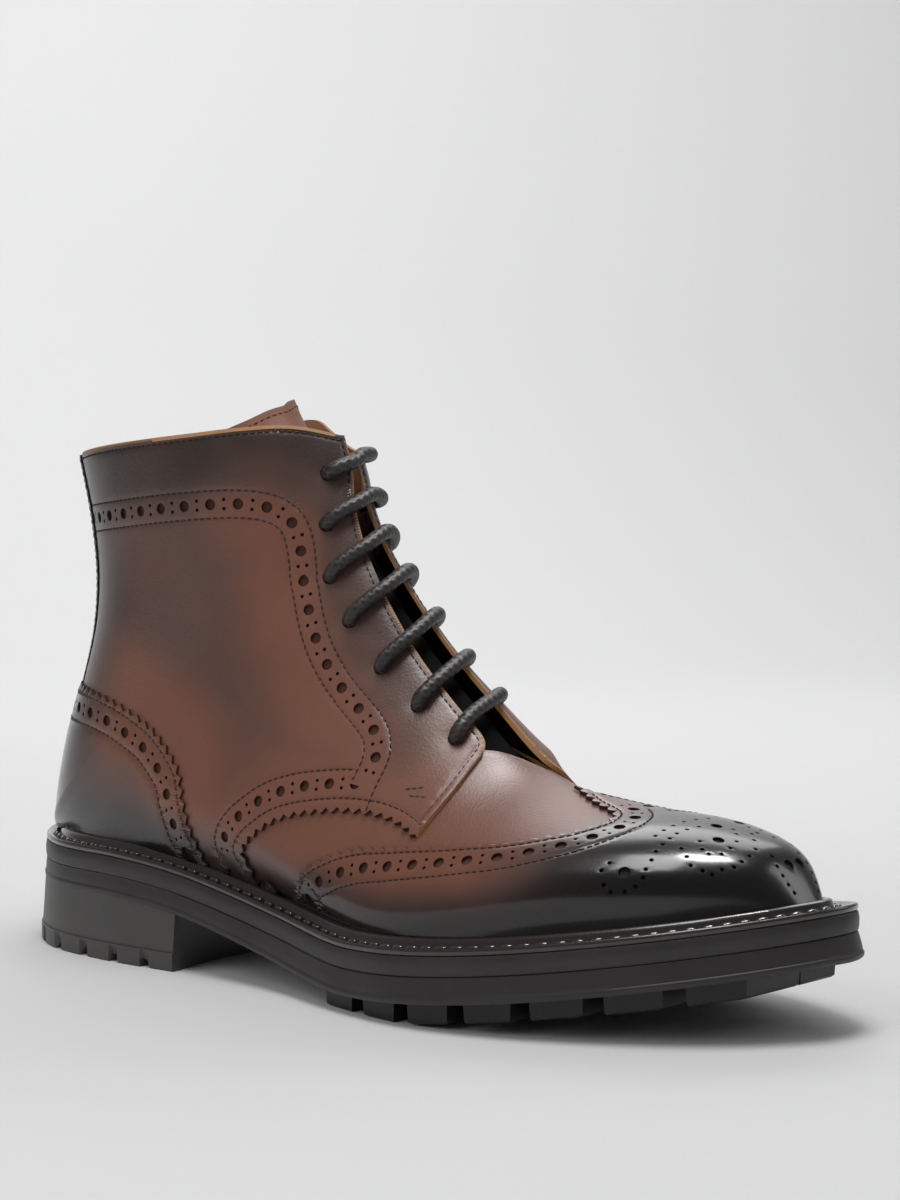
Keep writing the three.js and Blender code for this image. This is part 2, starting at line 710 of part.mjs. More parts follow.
// The body of the upper: one hollow wall, open at the collar, at the throat and underneath
function makeUpper() {
  const wall = leatherLayer(bodyInside, bodyOutside).subtract(throat)
  return pins.reduce((solid, pin) => solid.subtract(pin), wall)
}

// The wing cap over the toe, cut from the outer layer by its own winged edge
function makeWingCap() {
  const reach = 5
  const acrossSteps = 24
  const onwardSteps = 6
  const net = range(onwardSteps + 1).map((i) => range(acrossSteps + 1).map((j) => {
    const girth = (2 * j) / acrossSteps - 1
    const edge = lookUp(wingEdge, 'girth', 'row', 1 - Math.abs(girth))
    return { row: (edge * i) / onwardSteps, girth, lean: 0 }
  }))
  const nearTip = planPrism([
    [soleLength * 0.85, -ballWidth],
    [soleLength * 1.2, -ballWidth],
    [soleLength * 1.2, ballWidth],
    [soleLength * 0.85, ballWidth],
  ], 0, shaftRise)
  const region = skin(net.slice(1), -reach, reach).add(nearTip)
  return outerLayer().intersect(region)
}

// Both quarters, cut from the outer layer by their lower and front edge
function makeQuarters() {
  const line = sideLine(quarterEdge)
  const high = heelHeight + 2 * shaftRise
  const region = sidePrism([...line, [line[line.length - 1][0], high], [-soleLength, high], [-soleLength, line[0][1]]])
  const both = pins.reduce((solid, pin) => solid.subtract(pin), outerLayer().intersect(region).subtract(throat))
  const seam = block(-soleLength, soleLength / 4, -fitGap / 2, fitGap / 2, 0, high)
  return both.subtract(seam).decompose()
}

// The heel counter, laid over the quarters
function counterRegion(margin) {
  const line = sideLine(counterEdge).map(([x, z]) => [x + margin, z + margin])
  return sidePrism([...line, [-soleLength, line[line.length - 1][1]], [-soleLength, line[0][1]]])
}

// The narrow strip over the back seam, from the counter to the top line
function makeBackStrip() {
  const strip = block(-soleLength, soleLength / 6, -backStripHalfWidth, backStripHalfWidth, 0, 3 * shaftRise)
  return topLayer().intersect(strip).subtract(counterRegion(fitGap))
}

// The tongue under the facings. Its middle leans into the shaft, and its edges lean less.
function makeTongue() {
  const halfSteps = 5
  const edgeShare = 0.85
  const samples = 16
  const halfGirth = (row) => range(samples).reduce((sum, k) => {
    return sum + surfacePoint(row, -(k + 1) / samples, 0).distanceTo(surfacePoint(row, -k / samples, 0))
  }, 0)
  const last = tongueRows.length - 1
  const net = range(2 * last + 1).map((k) => {
    const from = tongueRows[Math.floor(k / 2)]
    const to = tongueRows[Math.ceil(k / 2)]
    const at = (name) => (from[name] + to[name]) / 2
    const share = (at('half') * ballWidth) / halfGirth(at('row'))
    return range(2 * halfSteps + 1).map((j) => {
      const side = j / halfSteps - 1
      return { row: at('row'), girth: side * share, lean: at('lean') * mix(1, edgeShare, side ** 2) }
    })
  })
  const outside = bodyInside - tongueClearance
  return skin(net, outside - tongueThickness, outside)
}

// A straight bar of lace across the throat, its ends turned down into a pair of holes
function makeLaceBar(hole) {
  const radius = laceDiameter / 2
  const over = radius + fitGap + 0.15
  const holeShare = 1 - hole.girth
  const stops = [
    { share: 1, lift: -1.2 },
    { share: 0.985, lift: over * 0.75 },
    { share: 0.86, lift: over + 0.5 },
    { share: 0.45, lift: over + 0.7 },
    { share: 0, lift: over + 0.2 },
  ]
  const whole = [...stops.map((s) => ({ ...s, side: -1 })), ...stops.slice(0, -1).reverse().map((s) => ({ ...s, side: 1 }))]
  const path = new THREE.CatmullRomCurve3(
    whole.map(({ side, share, lift }) => {
      const row = mix(hole.row, holeRow(hole, 1), (1 + side * share) / 2)
      return surfacePoint(row, side * share * holeShare, lift)
    }),
    false,
    'centripetal',
  )
  const sides = 6
  const circle = new THREE.Shape(range(sides).map((k) => {
    const turn = (2 * Math.PI * k) / sides
    return new THREE.Vector2(radius * Math.cos(turn), radius * Math.sin(turn))
  }))
  return geometryToSolid(new THREE.ExtrudeGeometry(circle, { steps: 12, bevelEnabled: false, extrudePath: path }))
}

// The storm welt: a flat edge, a stitch groove and a raised rib against the upper
function makeWelt() {
  const grooveInner = (x) => featherInsetAt(x) - fitGap - weltRibWidth
  const ribInner = (x) => featherInsetAt(x) - fitGap
  const at = (rise) => (x) => soleTop(x) + fitGap + rise
  const ring = outlineSweep([
    { inset: 0, height: at(0) },
    { inset: 0.2, height: at(weltThickness - fitGap) },
    { inset: weltEdgeWidth, height: at(weltThickness - fitGap) },
    { inset: (x) => weltEdgeWidth + 0.4, height: at(weltThickness - fitGap - weltGrooveDepth) },
    { inset: grooveInner, height: at(weltThickness - fitGap - weltGrooveDepth) },
    { inset: (x) => grooveInner(x) + weltRibWidth * 0.2, height: at(weltThickness - fitGap + weltRibHeight * 0.8) },
    { inset: (x) => grooveInner(x) + weltRibWidth * 0.7, height: at(weltThickness - fitGap + weltRibHeight) },
    { inset: ribInner, height: at(0) },
  ])
  const heelLeather = bootForm(2 * fitGap + layerThickness, midsoleThickness).intersect(counterRegion(fitGap))
  return ring.subtract(bootForm(fitGap, midsoleThickness)).subtract(heelLeather)
}

function makeMidsole() {
  const under = (x) => soleTop(x) - midsoleThickness + fitGap
  return slab([
    { inset: 0, height: under },
    { inset: -0.3, height: (x) => under(x) + 0.6 },
    { inset: 0, height: soleTop },
  ])
}

function makeInsole() {
  const inset = (x) => featherInsetAt(x) - bodyInside + insoleGap
  const sheet = slab([
    { inset, height: (x) => soleTop(x) + fitGap },
    { inset, height: (x) => soleTop(x) + fitGap + insoleThickness },
  ])
  return sheet.intersect(bootForm(bodyInside - insoleGap, 2 * midsoleThickness))
}

// Front face of the heel, a shallow hollow curve, as a plan outline of everything behind it
function heelPlan(extra) {
  const half = ballWidth * 0.33
  const curve = range(9).map((k) => {
    const across = (k / 8) * 2 - 1
    return [heelLength + extra - heelBreastHollow * (1 - across ** 2), across * half]
  })
  return [[-soleLength, -ballWidth], [heelLength + extra, -ballWidth], ...curve, [heelLength + extra, ballWidth], [-soleLength, ballWidth]]
}

// Steps of the side wall, shared by the heel block and the wall ahead of it
const wallTop = (x) => soleTop(x) - midsoleThickness
const flareAt = (z) => -edgeFlare * clamp01((heelHeight - midsoleThickness - z) / (heelHeight - midsoleThickness))

// The heel block, moulded in one with the outsole, ending at its top piece
function makeHeelBlock() {
  const block = slab([
    { inset: -edgeFlare, height: () => topPieceThickness },
    { inset: -edgeFlare * 0.4, height: (x) => mix(topPieceThickness, wallTop(x), 0.6) },
    { inset: 0, height: wallTop },
  ])
  return block.intersect(planPrism(heelPlan(0), topPieceThickness, 2 * heelHeight))
}

// The outsole's wall ahead of the heel, with its rib along the lower edge
function makeForepart() {
  const ribTop = (x) => soleUnderside(x) + sideRibHeight
  const flare = (x) => -edgeFlare * clamp01(x / soleLength + 0.2)
  return slab([
    { inset: (x) => flare(x) - sideRibStand, height: soleUnderside },
    { inset: (x) => flare(x) - sideRibStand, height: ribTop },
    { inset: flare, height: (x) => ribTop(x) + 0.5 },
    { inset: 0, height: wallTop },
  ]).subtract(planPrism(heelPlan(-1), 0, 2 * heelHeight))
}

// Lugs under the forefoot: a row along each edge and a middle field, parted by channels
function makeLugs() {
  const lugZone = (inset) => slab([
    { inset, height: lugBottom },
    { inset, height: (x) => soleUnderside(x) + 1 },
  ])
  const edgeRow = lugZone(lugEdgeInset).subtract(lugZone(lugEdgeInset + lugRowWidth))
  const field = lugZone(lugEdgeInset + lugRowWidth + channelWidth)
  const firstLug = 0.535 * soleLength
  const lastLug = soleLength * 0.95
  const zone = block(firstLug, lastLug, -ballWidth, ballWidth, -1, heelHeight)
  const channelCount = Math.floor((lastLug - firstLug) / channelPitch)
  const channels = range(channelCount).map((k) => {
    const x = firstLug + (k + 1) * channelPitch - channelWidth
    return block(x, x + channelWidth, -ballWidth, ballWidth, -1, heelHeight)
  })
  const cut = (solid) => channels.reduce((rest, channel) => rest.subtract(channel), solid.intersect(zone))
  return cut(edgeRow).add(cut(field))
}

function makeOutsole() {
  return makeHeelBlock().add(makeForepart()).add(makeLugs())
}

// The heel's top piece on the ground, with small notches around its lower edge
function makeTopPiece() {
  const stand = 0.4
  const piece = slab([
    { inset: -edgeFlare - stand, height: () => 0 },
    { inset: -edgeFlare - stand, height: () => topPieceThickness },
  ]).intersect(planPrism(heelPlan(0.3), 0, topPieceThickness))
  const notchPitch = 15
  const count = Math.floor((heelLength - notchPitch / 2) / notchPitch)
  const notches = [outerSide, innerSide].flatMap((side) => range(count).map((k) => {
    const run = side[side.length - 1].run
    const share = 1 - ((k + 0.8) * notchPitch) / run
    const edge = outlinePoint(side, share, () => -edgeFlare - stand)
    const deep = outlinePoint(side, share, () => notchDepth)
    const notch = new THREE.BoxGeometry(2 * edge.distanceTo(deep), notchWidth, 2 * notchHeight)
    notch.rotateZ(Math.atan2(deep.y - edge.y, deep.x - edge.x))
    notch.translate(edge.x, edge.y, 0)
    return geometryToSolid(notch)
  }))
  return notches.reduce((solid, notch) => solid.subtract(notch), piece)
}

// A solid as a mesh with its own name and material
function toMesh(name, solid, material) {
  const { vertProperties, triVerts } = solid.getMesh()
  const geometry = new THREE.BufferGeometry()
  geometry.setAttribute('position', new THREE.Float32BufferAttribute(Array.from(vertProperties), 3))
  geometry.setIndex(Array.from(triVerts))
  geometry.computeVertexNormals()
  const mesh = new THREE.Mesh(geometry, material)
  mesh.name = name
  return mesh
}

const finish = (color, roughness) => new THREE.MeshStandardMaterial({ color, roughness, metalness: 0 })
const brownCalf = finish(0x6f4636, 0.35)
const darkCalf = finish(0x2e2422, 0.25)
const tanLining = finish(0xb08a5c, 0.7)
const blackRubber = finish(0x34302e, 0.6)
const weltLeather = finish(0x26211f, 0.5)
const waxedLace = finish(0x2a2a29, 0.65)

const boot = new THREE.Group()
const quarters = makeQuarters()
const outerFirst = quarters.toSorted((a, b) => a.boundingBox().min[1] - b.boundingBox().min[1])
boot.add(
  toMesh('outsole', makeOutsole(), blackRubber),
  toMesh('heel_top_piece', makeTopPiece(), blackRubber),
  toMesh('midsole', makeMidsole(), blackRubber),
  toMesh('welt', makeWelt(), weltLeather),
  toMesh('insole', makeInsole(), tanLining),
  toMesh('upper', makeUpper(), brownCalf),
  toMesh('wing_cap', makeWingCap(), darkCalf),
  toMesh('quarter_outer', outerFirst[0], brownCalf),
  toMesh('quarter_inner', outerFirst[1], brownCalf),
  toMesh('heel_counter', topLayer().intersect(counterRegion(0)), darkCalf),
  toMesh('back_strip', makeBackStrip(), brownCalf),
  toMesh('tongue', makeTongue(), brownCalf),
  ...laceHoles.map((hole, i) => toMesh(`lace_bar_${i + 1}`, makeLaceBar(hole), waxedLace)),
)

const middle = new THREE.Box3().setFromObject(boot).getCenter(new THREE.Vector3())
boot.position.set(-middle.x, -middle.y, 0)

export default boot
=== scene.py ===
"""Dresses the ankle boot: a right wing cap derby boot of burnished calf on a lugged rubber sole.

Sizes are in millimetres in the last's own frame, where x runs from the back of the sole to the
toe, y towards the inner side of the foot and z up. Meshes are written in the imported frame.
"""

from __future__ import annotations

import json
import logging
import math
from dataclasses import dataclass, field
from enum import Enum, IntEnum
from typing import Callable

import bpy
import numpy as np
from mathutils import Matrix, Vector
from mathutils.geometry import delaunay_2d_cdt, tessellate_polygon
from mathutils.kdtree import KDTree

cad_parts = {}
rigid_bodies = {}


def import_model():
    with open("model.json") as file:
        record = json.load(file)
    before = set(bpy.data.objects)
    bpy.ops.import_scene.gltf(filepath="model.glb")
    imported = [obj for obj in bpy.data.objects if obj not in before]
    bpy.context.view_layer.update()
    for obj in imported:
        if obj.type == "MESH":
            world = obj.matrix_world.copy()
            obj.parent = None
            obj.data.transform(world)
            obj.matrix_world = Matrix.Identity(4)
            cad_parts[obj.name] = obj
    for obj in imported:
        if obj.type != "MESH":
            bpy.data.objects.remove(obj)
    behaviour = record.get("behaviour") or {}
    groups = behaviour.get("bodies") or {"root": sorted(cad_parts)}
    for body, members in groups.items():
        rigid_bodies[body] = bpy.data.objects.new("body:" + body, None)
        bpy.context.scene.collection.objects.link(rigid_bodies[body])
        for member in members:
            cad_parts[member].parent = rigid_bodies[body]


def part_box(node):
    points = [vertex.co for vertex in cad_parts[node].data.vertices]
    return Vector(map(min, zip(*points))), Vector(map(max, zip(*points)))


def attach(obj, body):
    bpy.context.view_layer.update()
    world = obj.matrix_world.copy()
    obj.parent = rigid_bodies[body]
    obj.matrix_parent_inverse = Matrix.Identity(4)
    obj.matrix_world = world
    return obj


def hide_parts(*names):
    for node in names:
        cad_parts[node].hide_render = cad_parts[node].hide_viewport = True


LOG = logging.getLogger("ankle_boot")
MM = 0.001
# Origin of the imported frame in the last's own frame, in millimetres
FRAME_PLACE = (152.598, 0.140)
Array = np.ndarray
NO_POINTS = np.zeros((0, 2))


class Side(Enum):
    """The two sides of the right boot, with the sign of y there."""

    OUTER = -1
    INNER = 1


def smooth(t: Array | float) -> Array:
    """Smooth step from 0 to 1."""
    t = np.clip(t, 0.0, 1.0)
    return t * t * (3.0 - 2.0 * t)


def ease(value: Array, start: float, width: float) -> Array:
    """0 up to a start, then easing to 1 over a width."""
    return smooth((value - start) / width)


def fade(value: Array, start: float, width: float) -> Array:
    """1 up to a start, then easing to 0 over a width."""
    return 1.0 - ease(value, start, width)


def bell(t: Array) -> Array:
    """A bell curve, 1 at its middle."""
    return np.exp(-(t**2))


def mix(a: Array | float, b: Array | float, t: Array | float) -> Array:
    """Straight blend from a to b."""
    return a + (b - a) * t


def level(value: float) -> Callable[[Array], Array]:
    """A curve over x with the same value everywhere."""
    return lambda x: np.full_like(x, value)


def catmull(points: Array, closed: bool, steps: int) -> Array:
    """A centripetal Catmull-Rom curve through points.

    Args:
        points: control points, one a row.
        closed: whether the curve comes back to its first point.
        steps: samples for each span.

    Returns:
        The sampled curve; a closed one doesn't repeat its first point.
    """
    p = np.asarray(points, float)
    count = len(p)
    spans = count if closed else count - 1
    out = []
    for i in range(spans):
        p1, p2 = p[i], p[(i + 1) % count]
        p0 = p[i - 1] if closed or i > 0 else 2 * p1 - p2
        p3 = p[(i + 2) % count] if closed or i + 2 < count else 2 * p2 - p1
        knots = [0.0]
        for a, b in ((p0, p1), (p1, p2), (p2, p3)):
            knots.append(knots[-1] + math.sqrt(float(np.linalg.norm(b - a))))
        t0, t1, t2, t3 = knots
        t = np.linspace(t1, t2, steps, endpoint=False)[:, None]
        a1 = (t1 - t) / (t1 - t0) * p0 + (t - t0) / (t1 - t0) * p1
        a2 = (t2 - t) / (t2 - t1) * p1 + (t - t1) / (t2 - t1) * p2
        a3 = (t3 - t) / (t3 - t2) * p2 + (t - t2) / (t3 - t2) * p3
        b1 = (t2 - t) / (t2 - t0) * a1 + (t - t0) / (t2 - t0) * a2
        b2 = (t3 - t) / (t3 - t1) * a2 + (t - t1) / (t3 - t1) * a3
        out.append((t2 - t) / (t2 - t1) * b1 + (t - t1) / (t2 - t1) * b2)
    if not closed:
        out.append(p[-1:])
    return np.vstack(out)


def natural_spline(values: Array) -> Callable[[Array], Array]:
    """The natural cubic spline through equally spaced values."""
    values = np.asarray(values, float)
    n = len(values)
    matrix = np.eye(n)
    load = np.zeros(n)
    for i in range(1, n - 1):
        matrix[i, i - 1 : i + 2] = (1.0, 4.0, 1.0)
        load[i] = 6.0 * (values[i + 1] - 2.0 * values[i] + values[i - 1])
    bend = np.linalg.solve(matrix, load)

    def at(where: Array) -> Array:
        """The spline at some places."""
        where = np.asarray(where, float)
        i = np.clip(np.floor(where).astype(int), 0, n - 2)
        t = where - i
        s = 1.0 - t
        curved = (s**3 - s) * bend[i] + (t**3 - t) * bend[i + 1]
        return s * values[i] + t * values[i + 1] + curved / 6.0

    return at


def run_of(line: Array) -> Array:
    """Length along a line at each of its points."""
    return np.r_[0.0, np.cumsum(np.linalg.norm(np.diff(line, axis=0), axis=1))]


def read_off(where: Array | float, run: Array, table: Array) -> Array:
    """Rows of a table read off at places along its run."""
    return np.stack([np.interp(where, run, column) for column in table.T], -1)


def resample(line: Array, step: float, run: Array | None = None) -> Array:
    """The line in equal steps close to the given length, ends kept.

    Args:
        line: its points, one a row.
        step: length wanted for a step.
        run: length along the line at each point, unless the points give it themselves.

    Returns:
        The new points.
    """
    run = run_of(line) if run is None else run
    count = max(2, int(round(run[-1] / step)) + 1)
    return read_off(np.linspace(0.0, run[-1], count), run, line)


def nearest(x: Array, z: Array, places: Array) -> Array:
    """Side view distance of points from the nearest of some places."""
    gap = np.full(len(x), np.inf)
    for place in places:
        gap = np.minimum(gap, np.hypot(x - place[0], z - place[1]))
    return gap


# The sole's shape, shared by sole, welt and upper


# Outline from the toe back along the outer side to the heel and forward again:
# share of the length, share of the ball width
SOLE_OUTLINE = (
    (1.000, 0.157), (0.993, 0.051), (0.961, -0.097), (0.902, -0.245), (0.820, -0.380),
    (0.738, -0.468), (0.656, -0.500), (0.574, -0.468), (0.459, -0.380), (0.328, -0.343),
    (0.197, -0.343), (0.098, -0.292), (0.033, -0.162), (0.000, 0.000), (0.033, 0.162),
    (0.098, 0.287), (0.180, 0.324), (0.279, 0.315), (0.377, 0.306), (0.475, 0.333),
    (0.574, 0.398), (0.662, 0.468), (0.754, 0.500), (0.836, 0.481), (0.905, 0.412),
    (0.957, 0.329), (0.990, 0.245),
)
HEEL_POINT = 13


@dataclass(frozen=True)
class SoleShape:
    """Driving sizes of the sole and the curves that follow from them.

    A span is where a change starts and how far it runs, as shares of the length.
    """

    length: float = 305.0
    ball_width: float = 108.0
    heel_height: float = 33.3
    ball_height: float = 19.0
    toe_spring: float = 16.1
    outsole: float = 7.7
    midsole: float = 6.0
    waist_thinning: float = 1.3
    edge_flare: float = 1.5
    feather_inset: float = 7.3
    toe_extra_inset: float = 2.2
    arch_span: tuple[float, float] = (0.18, 0.41)
    spring_span: tuple[float, float] = (0.566, 0.434)
    spring_power: float = 1.6
    thinning_span: tuple[float, float] = (0.28, 0.26)
    toe_span: tuple[float, float] = (0.91, 0.08)
    steps: int = 24
    sides: dict = field(default_factory=dict)

    def __post_init__(self) -> None:
        """Works out both sides of the outline once."""
        table = np.array(SOLE_OUTLINE) * (self.length, self.ball_width)
        curve = catmull(table, True, self.steps)
        tangent = np.roll(curve, -1, 0) - np.roll(curve, 1, 0)
        tangent /= np.linalg.norm(tangent, axis=1)[:, None]
        inward = np.c_[tangent[:, 1], -tangent[:, 0]]
        if inward[0] @ (curve.mean(0) - curve[0]) < 0:
            inward = -inward
        heel = HEEL_POINT * self.steps
        loop = np.arange(len(curve) + 1) % len(curve)
        for side, index in ((Side.OUTER, loop[: heel + 1]), (Side.INNER, loop[heel:][::-1])):
            line = curve[index]
            self.sides[side] = (run_of(line) / run_of(line)[-1], line, inward[index])

    def top(self, x: Array) -> Array:
        """Height of the top of the midsole at places x."""
        along = np.asarray(x) / self.length
        start, span = self.spring_span
        spring = np.clip((along - start) / span, 0.0, 1.0) ** self.spring_power
        arch = (self.heel_height - self.ball_height) * fade(along, *self.arch_span)
        return self.ball_height + arch + self.toe_spring * spring

    def wall_foot(self, x: Array) -> Array:
        """Height of the underside of the side wall ahead of the heel."""
        thinning = self.waist_thinning * fade(np.asarray(x) / self.length, *self.thinning_span)
        return self.top(x) - self.midsole - self.outsole + thinning

    def feather(self, x: Array) -> Array:
        """Inset of the upper's feather line from the edge of the sole."""
        return self.feather_inset + self.toe_extra_inset * ease(np.asarray(x) / self.length, *self.toe_span)

    def edge(self, side: Side, share: Array, inset: Callable[[Array], Array]) -> Array:
        """Points of one side of the outline, moved inwards.

        Args:
            side: the side of the boot.
            share: places as shares of the side's length, from the toe.
            inset: how far inwards, over x.

        Returns:
            The points in plan.
        """
        run, line, inward = self.sides[side]
        point, normal = read_off(share, run, line), read_off(share, run, inward)
        normal /= np.linalg.norm(normal, axis=-1, keepdims=True)
        return point + normal * np.asarray(inset(point[..., 0]))[..., None]

    def ring(self, inset: Callable[[Array], Array], height: Callable[[Array], Array], half: int) -> Array:
        """The whole outline as a closed ring, outer side first.

        Args:
            inset: how far inwards, over x.
            height: the height, over x.
            half: steps along each side.

        Returns:
            2 * half points.
        """
        k = np.arange(half + 1) / half
        share = mix(k, (1.0 - np.cos(np.pi * k)) / 2.0, 0.5)
        outer = self.edge(Side.OUTER, share, inset)
        inner = self.edge(Side.INNER, share[1:-1][::-1], inset)
        plan = np.vstack([outer, inner])
        return np.c_[plan, height(plan[:, 0])]

    def width_at(self, side: Side, x: Array, inset: float) -> Array:
        """Distance y of one side at places x, for a constant inset."""
        line = self.edge(side, np.linspace(0.0, 1.0, 600), level(inset))
        order = np.argsort(line[:, 0])
        return np.interp(x, line[order, 0], line[order, 1])


# The surface of the boot over its last


# Sections from the toe to the heel and up the shaft: base, crest x, crest rise, outer reach,
# inner reach, crest y, widest share, roundness; x is a share of the length, rise of the
# shaft's rise and y of the ball width
SECTIONS = (
    (0.00, 0.966, 0.010, 0.148, 0.157, 0.156, 0.40, 2.20),
    (0.05, 0.950, 0.085, 0.032, 0.231, 0.153, 0.40, 2.30),
    (0.10, 0.928, 0.155, -0.065, 0.306, 0.144, 0.38, 2.30),
    (0.17, 0.889, 0.208, -0.199, 0.380, 0.130, 0.34, 2.25),
    (0.26, 0.842, 0.247, -0.319, 0.426, 0.111, 0.30, 2.15),
    (0.36, 0.778, 0.282, -0.421, 0.421, 0.093, 0.26, 2.00),
    (0.46, 0.708, 0.336, -0.431, 0.384, 0.074, 0.24, 1.95),
    (0.57, 0.659, 0.411, -0.384, 0.333, 0.056, 0.26, 1.90),
    (0.70, 0.613, 0.525, -0.343, 0.306, 0.042, 0.30, 1.90),
    (0.84, 0.556, 0.658, -0.315, 0.306, 0.032, 0.34, 1.90),
    (0.94, 0.505, 0.788, -0.306, 0.296, 0.023, 0.36, 1.95),
    (1.00, 0.470, 0.890, -0.301, 0.296, 0.022, 0.38, 1.95),
    (1.25, 0.447, 0.976, -0.296, 0.296, 0.024, 0.42, 1.95),
    (1.50, 0.436, 1.031, -0.292, 0.296, 0.032, 0.46, 1.90),
    (1.75, 0.425, 1.088, -0.296, 0.301, 0.038, 0.50, 1.85),
    (2.00, 0.414, 1.147, -0.306, 0.310, 0.040, 0.50, 1.85),
    (2.20, 0.401, 1.212, -0.310, 0.315, 0.040, 0.50, 1.85),
    (2.40, 0.388, 1.277, -0.315, 0.319, 0.040, 0.50, 1.85),
)
HEEL_ROW = 11
SHAFT_RISE = 126.7
# Side view tables: x as a share of the length, rise as a share of the shaft's rise
BACK_CURVE = (
    (0.024, 0.002), (0.030, 0.092), (0.043, 0.211), (0.067, 0.369), (0.087, 0.526),
    (0.092, 0.668), (0.084, 0.826), (0.066, 1.000), (0.043, 1.200), (0.020, 1.400),
)
TOP_LINE = (
    (-0.06, 0.985), (0.060, 1.000), (0.180, 1.030), (0.300, 1.060), (0.350, 1.075), (0.385, 1.081),
    (0.402, 1.074), (0.418, 1.055), (0.435, 1.020), (0.500, 0.860),
)
# The inner collar stands a little higher and is rounded off more towards the throat
INNER_TOP_LINE = (
    (-0.06, 0.985), (0.060, 1.000), (0.180, 1.036), (0.240, 1.070), (0.270, 1.092), (0.295, 1.091),
    (0.320, 1.064), (0.350, 1.032), (0.380, 1.016), (0.414, 1.012), (0.432, 1.003), (0.450, 0.960),
    (0.500, 0.860),
)
QUARTER_FRONT = ((0.635, 0.330), (0.633, 0.240), (0.624, 0.148))
INNER_QUARTER_FRONT = ((0.672, 0.274), (0.668, 0.215), (0.650, 0.170), (0.624, 0.148))
QUARTER_FOOT = (
    (0.624, 0.148), (0.597, 0.173), (0.567, 0.188), (0.528, 0.190), (0.492, 0.180),
    (0.459, 0.164), (0.433, 0.141), (0.413, 0.110), (0.400, 0.085), (0.390, 0.048),
    (0.397, 0.010), (0.400, -0.100),
)
COUNTER_EDGE = (
    (-0.06, 0.418), (0.120, 0.416), (0.165, 0.406), (0.197, 0.389), (0.226, 0.363), (0.256, 0.328),
    (0.280, 0.281), (0.300, 0.226), (0.309, 0.160), (0.318, 0.100), (0.330, 0.020),
    (0.334, -0.100),
)
# Line of the big holes of the collar and facing band, back seam first
COLLAR_BAND = (
    (0.050, 0.832), (0.098, 0.838), (0.170, 0.852), (0.259, 0.875), (0.331, 0.889),
    (0.365, 0.889), (0.390, 0.876), (0.406, 0.840), (0.414, 0.785), (0.420, 0.722),
    (0.429, 0.655), (0.440, 0.596), (0.454, 0.534), (0.474, 0.478), (0.497, 0.430),
    (0.520, 0.390), (0.538, 0.350), (0.546, 0.300), (0.541, 0.240),
)
# Where the front stitch row of the facing band runs on to the pinked foot of the quarter
BAND_TAIL = ((0.541, 0.180), (0.541, 0.100))
BAND_JOINT = 0.541
# Rear edge of the wing cap: girth share from the welt to the crest, section row
WING_EDGE = (
    (0.00, 7.05), (0.16, 7.10), (0.25, 7.17), (0.33, 7.10), (0.39, 6.95), (0.44, 6.60),
    (0.49, 6.00), (0.54, 5.45), (0.60, 5.15), (0.66, 4.95), (0.75, 4.86), (0.84, 4.96),
    (0.92, 5.47), (1.00, 6.05),
)
# Half width of the throat by section row, as a share of the ball width
THROAT_GAP = (
    (7.30, 0.004), (7.50, 0.048), (8.00, 0.058), (9.00, 0.055), (10.0, 0.048),
    (11.0, 0.033), (12.0, 0.012), (13.0, -0.014), (14.0, -0.026), (16.0, -0.030),
)
# The inner facing reaches further down over the vamp
INNER_THROAT_GAP = (
    (6.60, 0.102), (7.12, 0.093), (7.50, 0.085), (8.00, 0.074), (9.00, 0.056), (10.0, 0.048),
    (11.0, 0.042), (12.0, 0.042), (13.0, 0.047), (14.0, 0.052), (16.0, 0.054),
)
# Lace holes from the lowest pair up: section row, girth share; the inner holes sit higher, so
# that the bars rise inwards
INNER_HOLE_RISE = 0.6
LACE_HOLES = (
    (7.69, 0.845), (8.36, 0.850), (9.05, 0.860), (9.85, 0.875), (10.73, 0.890),
    (11.75, 0.915), (13.36, 0.925),
)
# Tongue: section row, half width as a share of the ball width, lean of its middle and shift
# towards the outer side in mm
TONGUE_ROWS = (
    (6.90, 0.14, 0.0, 0.0), (8.00, 0.20, 0.0, 0.0), (9.50, 0.23, 0.5, 0.0), (11.0, 0.25, 1.0, 0.0),
    (12.5, 0.26, 2.0, 1.5), (13.3, 0.26, 3.0, 4.0), (14.1, 0.25, 5.0, 5.6), (14.9, 0.24, 7.5, 6.4),
    (15.5, 0.23, 9.5, 6.6), (16.3, 0.22, 11.0, 6.6),
)
# Top edge of the tongue: share across from the outer to the inner side, section row
TONGUE_TOP = (
    (-1.00, 14.90), (-0.60, 15.35), (-0.20, 15.85), (0.15, 16.05), (0.45, 16.08), (0.70, 15.98),
    (0.88, 15.70), (1.00, 15.20),
)
# Two short bar tack rows at the foot of the facing: row and signed girth of their ends
BAR_TACK = (((7.29, -0.367), (7.17, -0.333)), ((7.17, -0.380), (7.00, -0.360)))
# The lace between a hole and the lip of its facing: share of the way, lift over the leather
LACE_LADDER = ((0.0, -5.0), (0.0, -1.5), (0.14, 1.9), (0.55, 2.3), (1.0, 2.0))
# Where the lace crosses the lips, as a share of the inner holes' rise
LIP_RISE = {Side.OUTER: 0.35, Side.INNER: 0.75}
# Rear edge of the vamp under the quarters, inner side first: section row, signed girth
VAMP_REAR = (
    (10.4, 1.0), (10.0, 0.80), (9.3, 0.62), (8.6, 0.50), (8.1, 0.36), (7.75, 0.22), (7.30, 0.15),
    (6.85, 0.09), (6.72, 0.04), (6.85, 0.0), (7.05, -0.035), (7.30, -0.085), (7.45, -0.13),
    (7.75, -0.22), (8.1, -0.36), (8.6, -0.50), (9.3, -0.62), (10.0, -0.80), (10.4, -1.0),
)
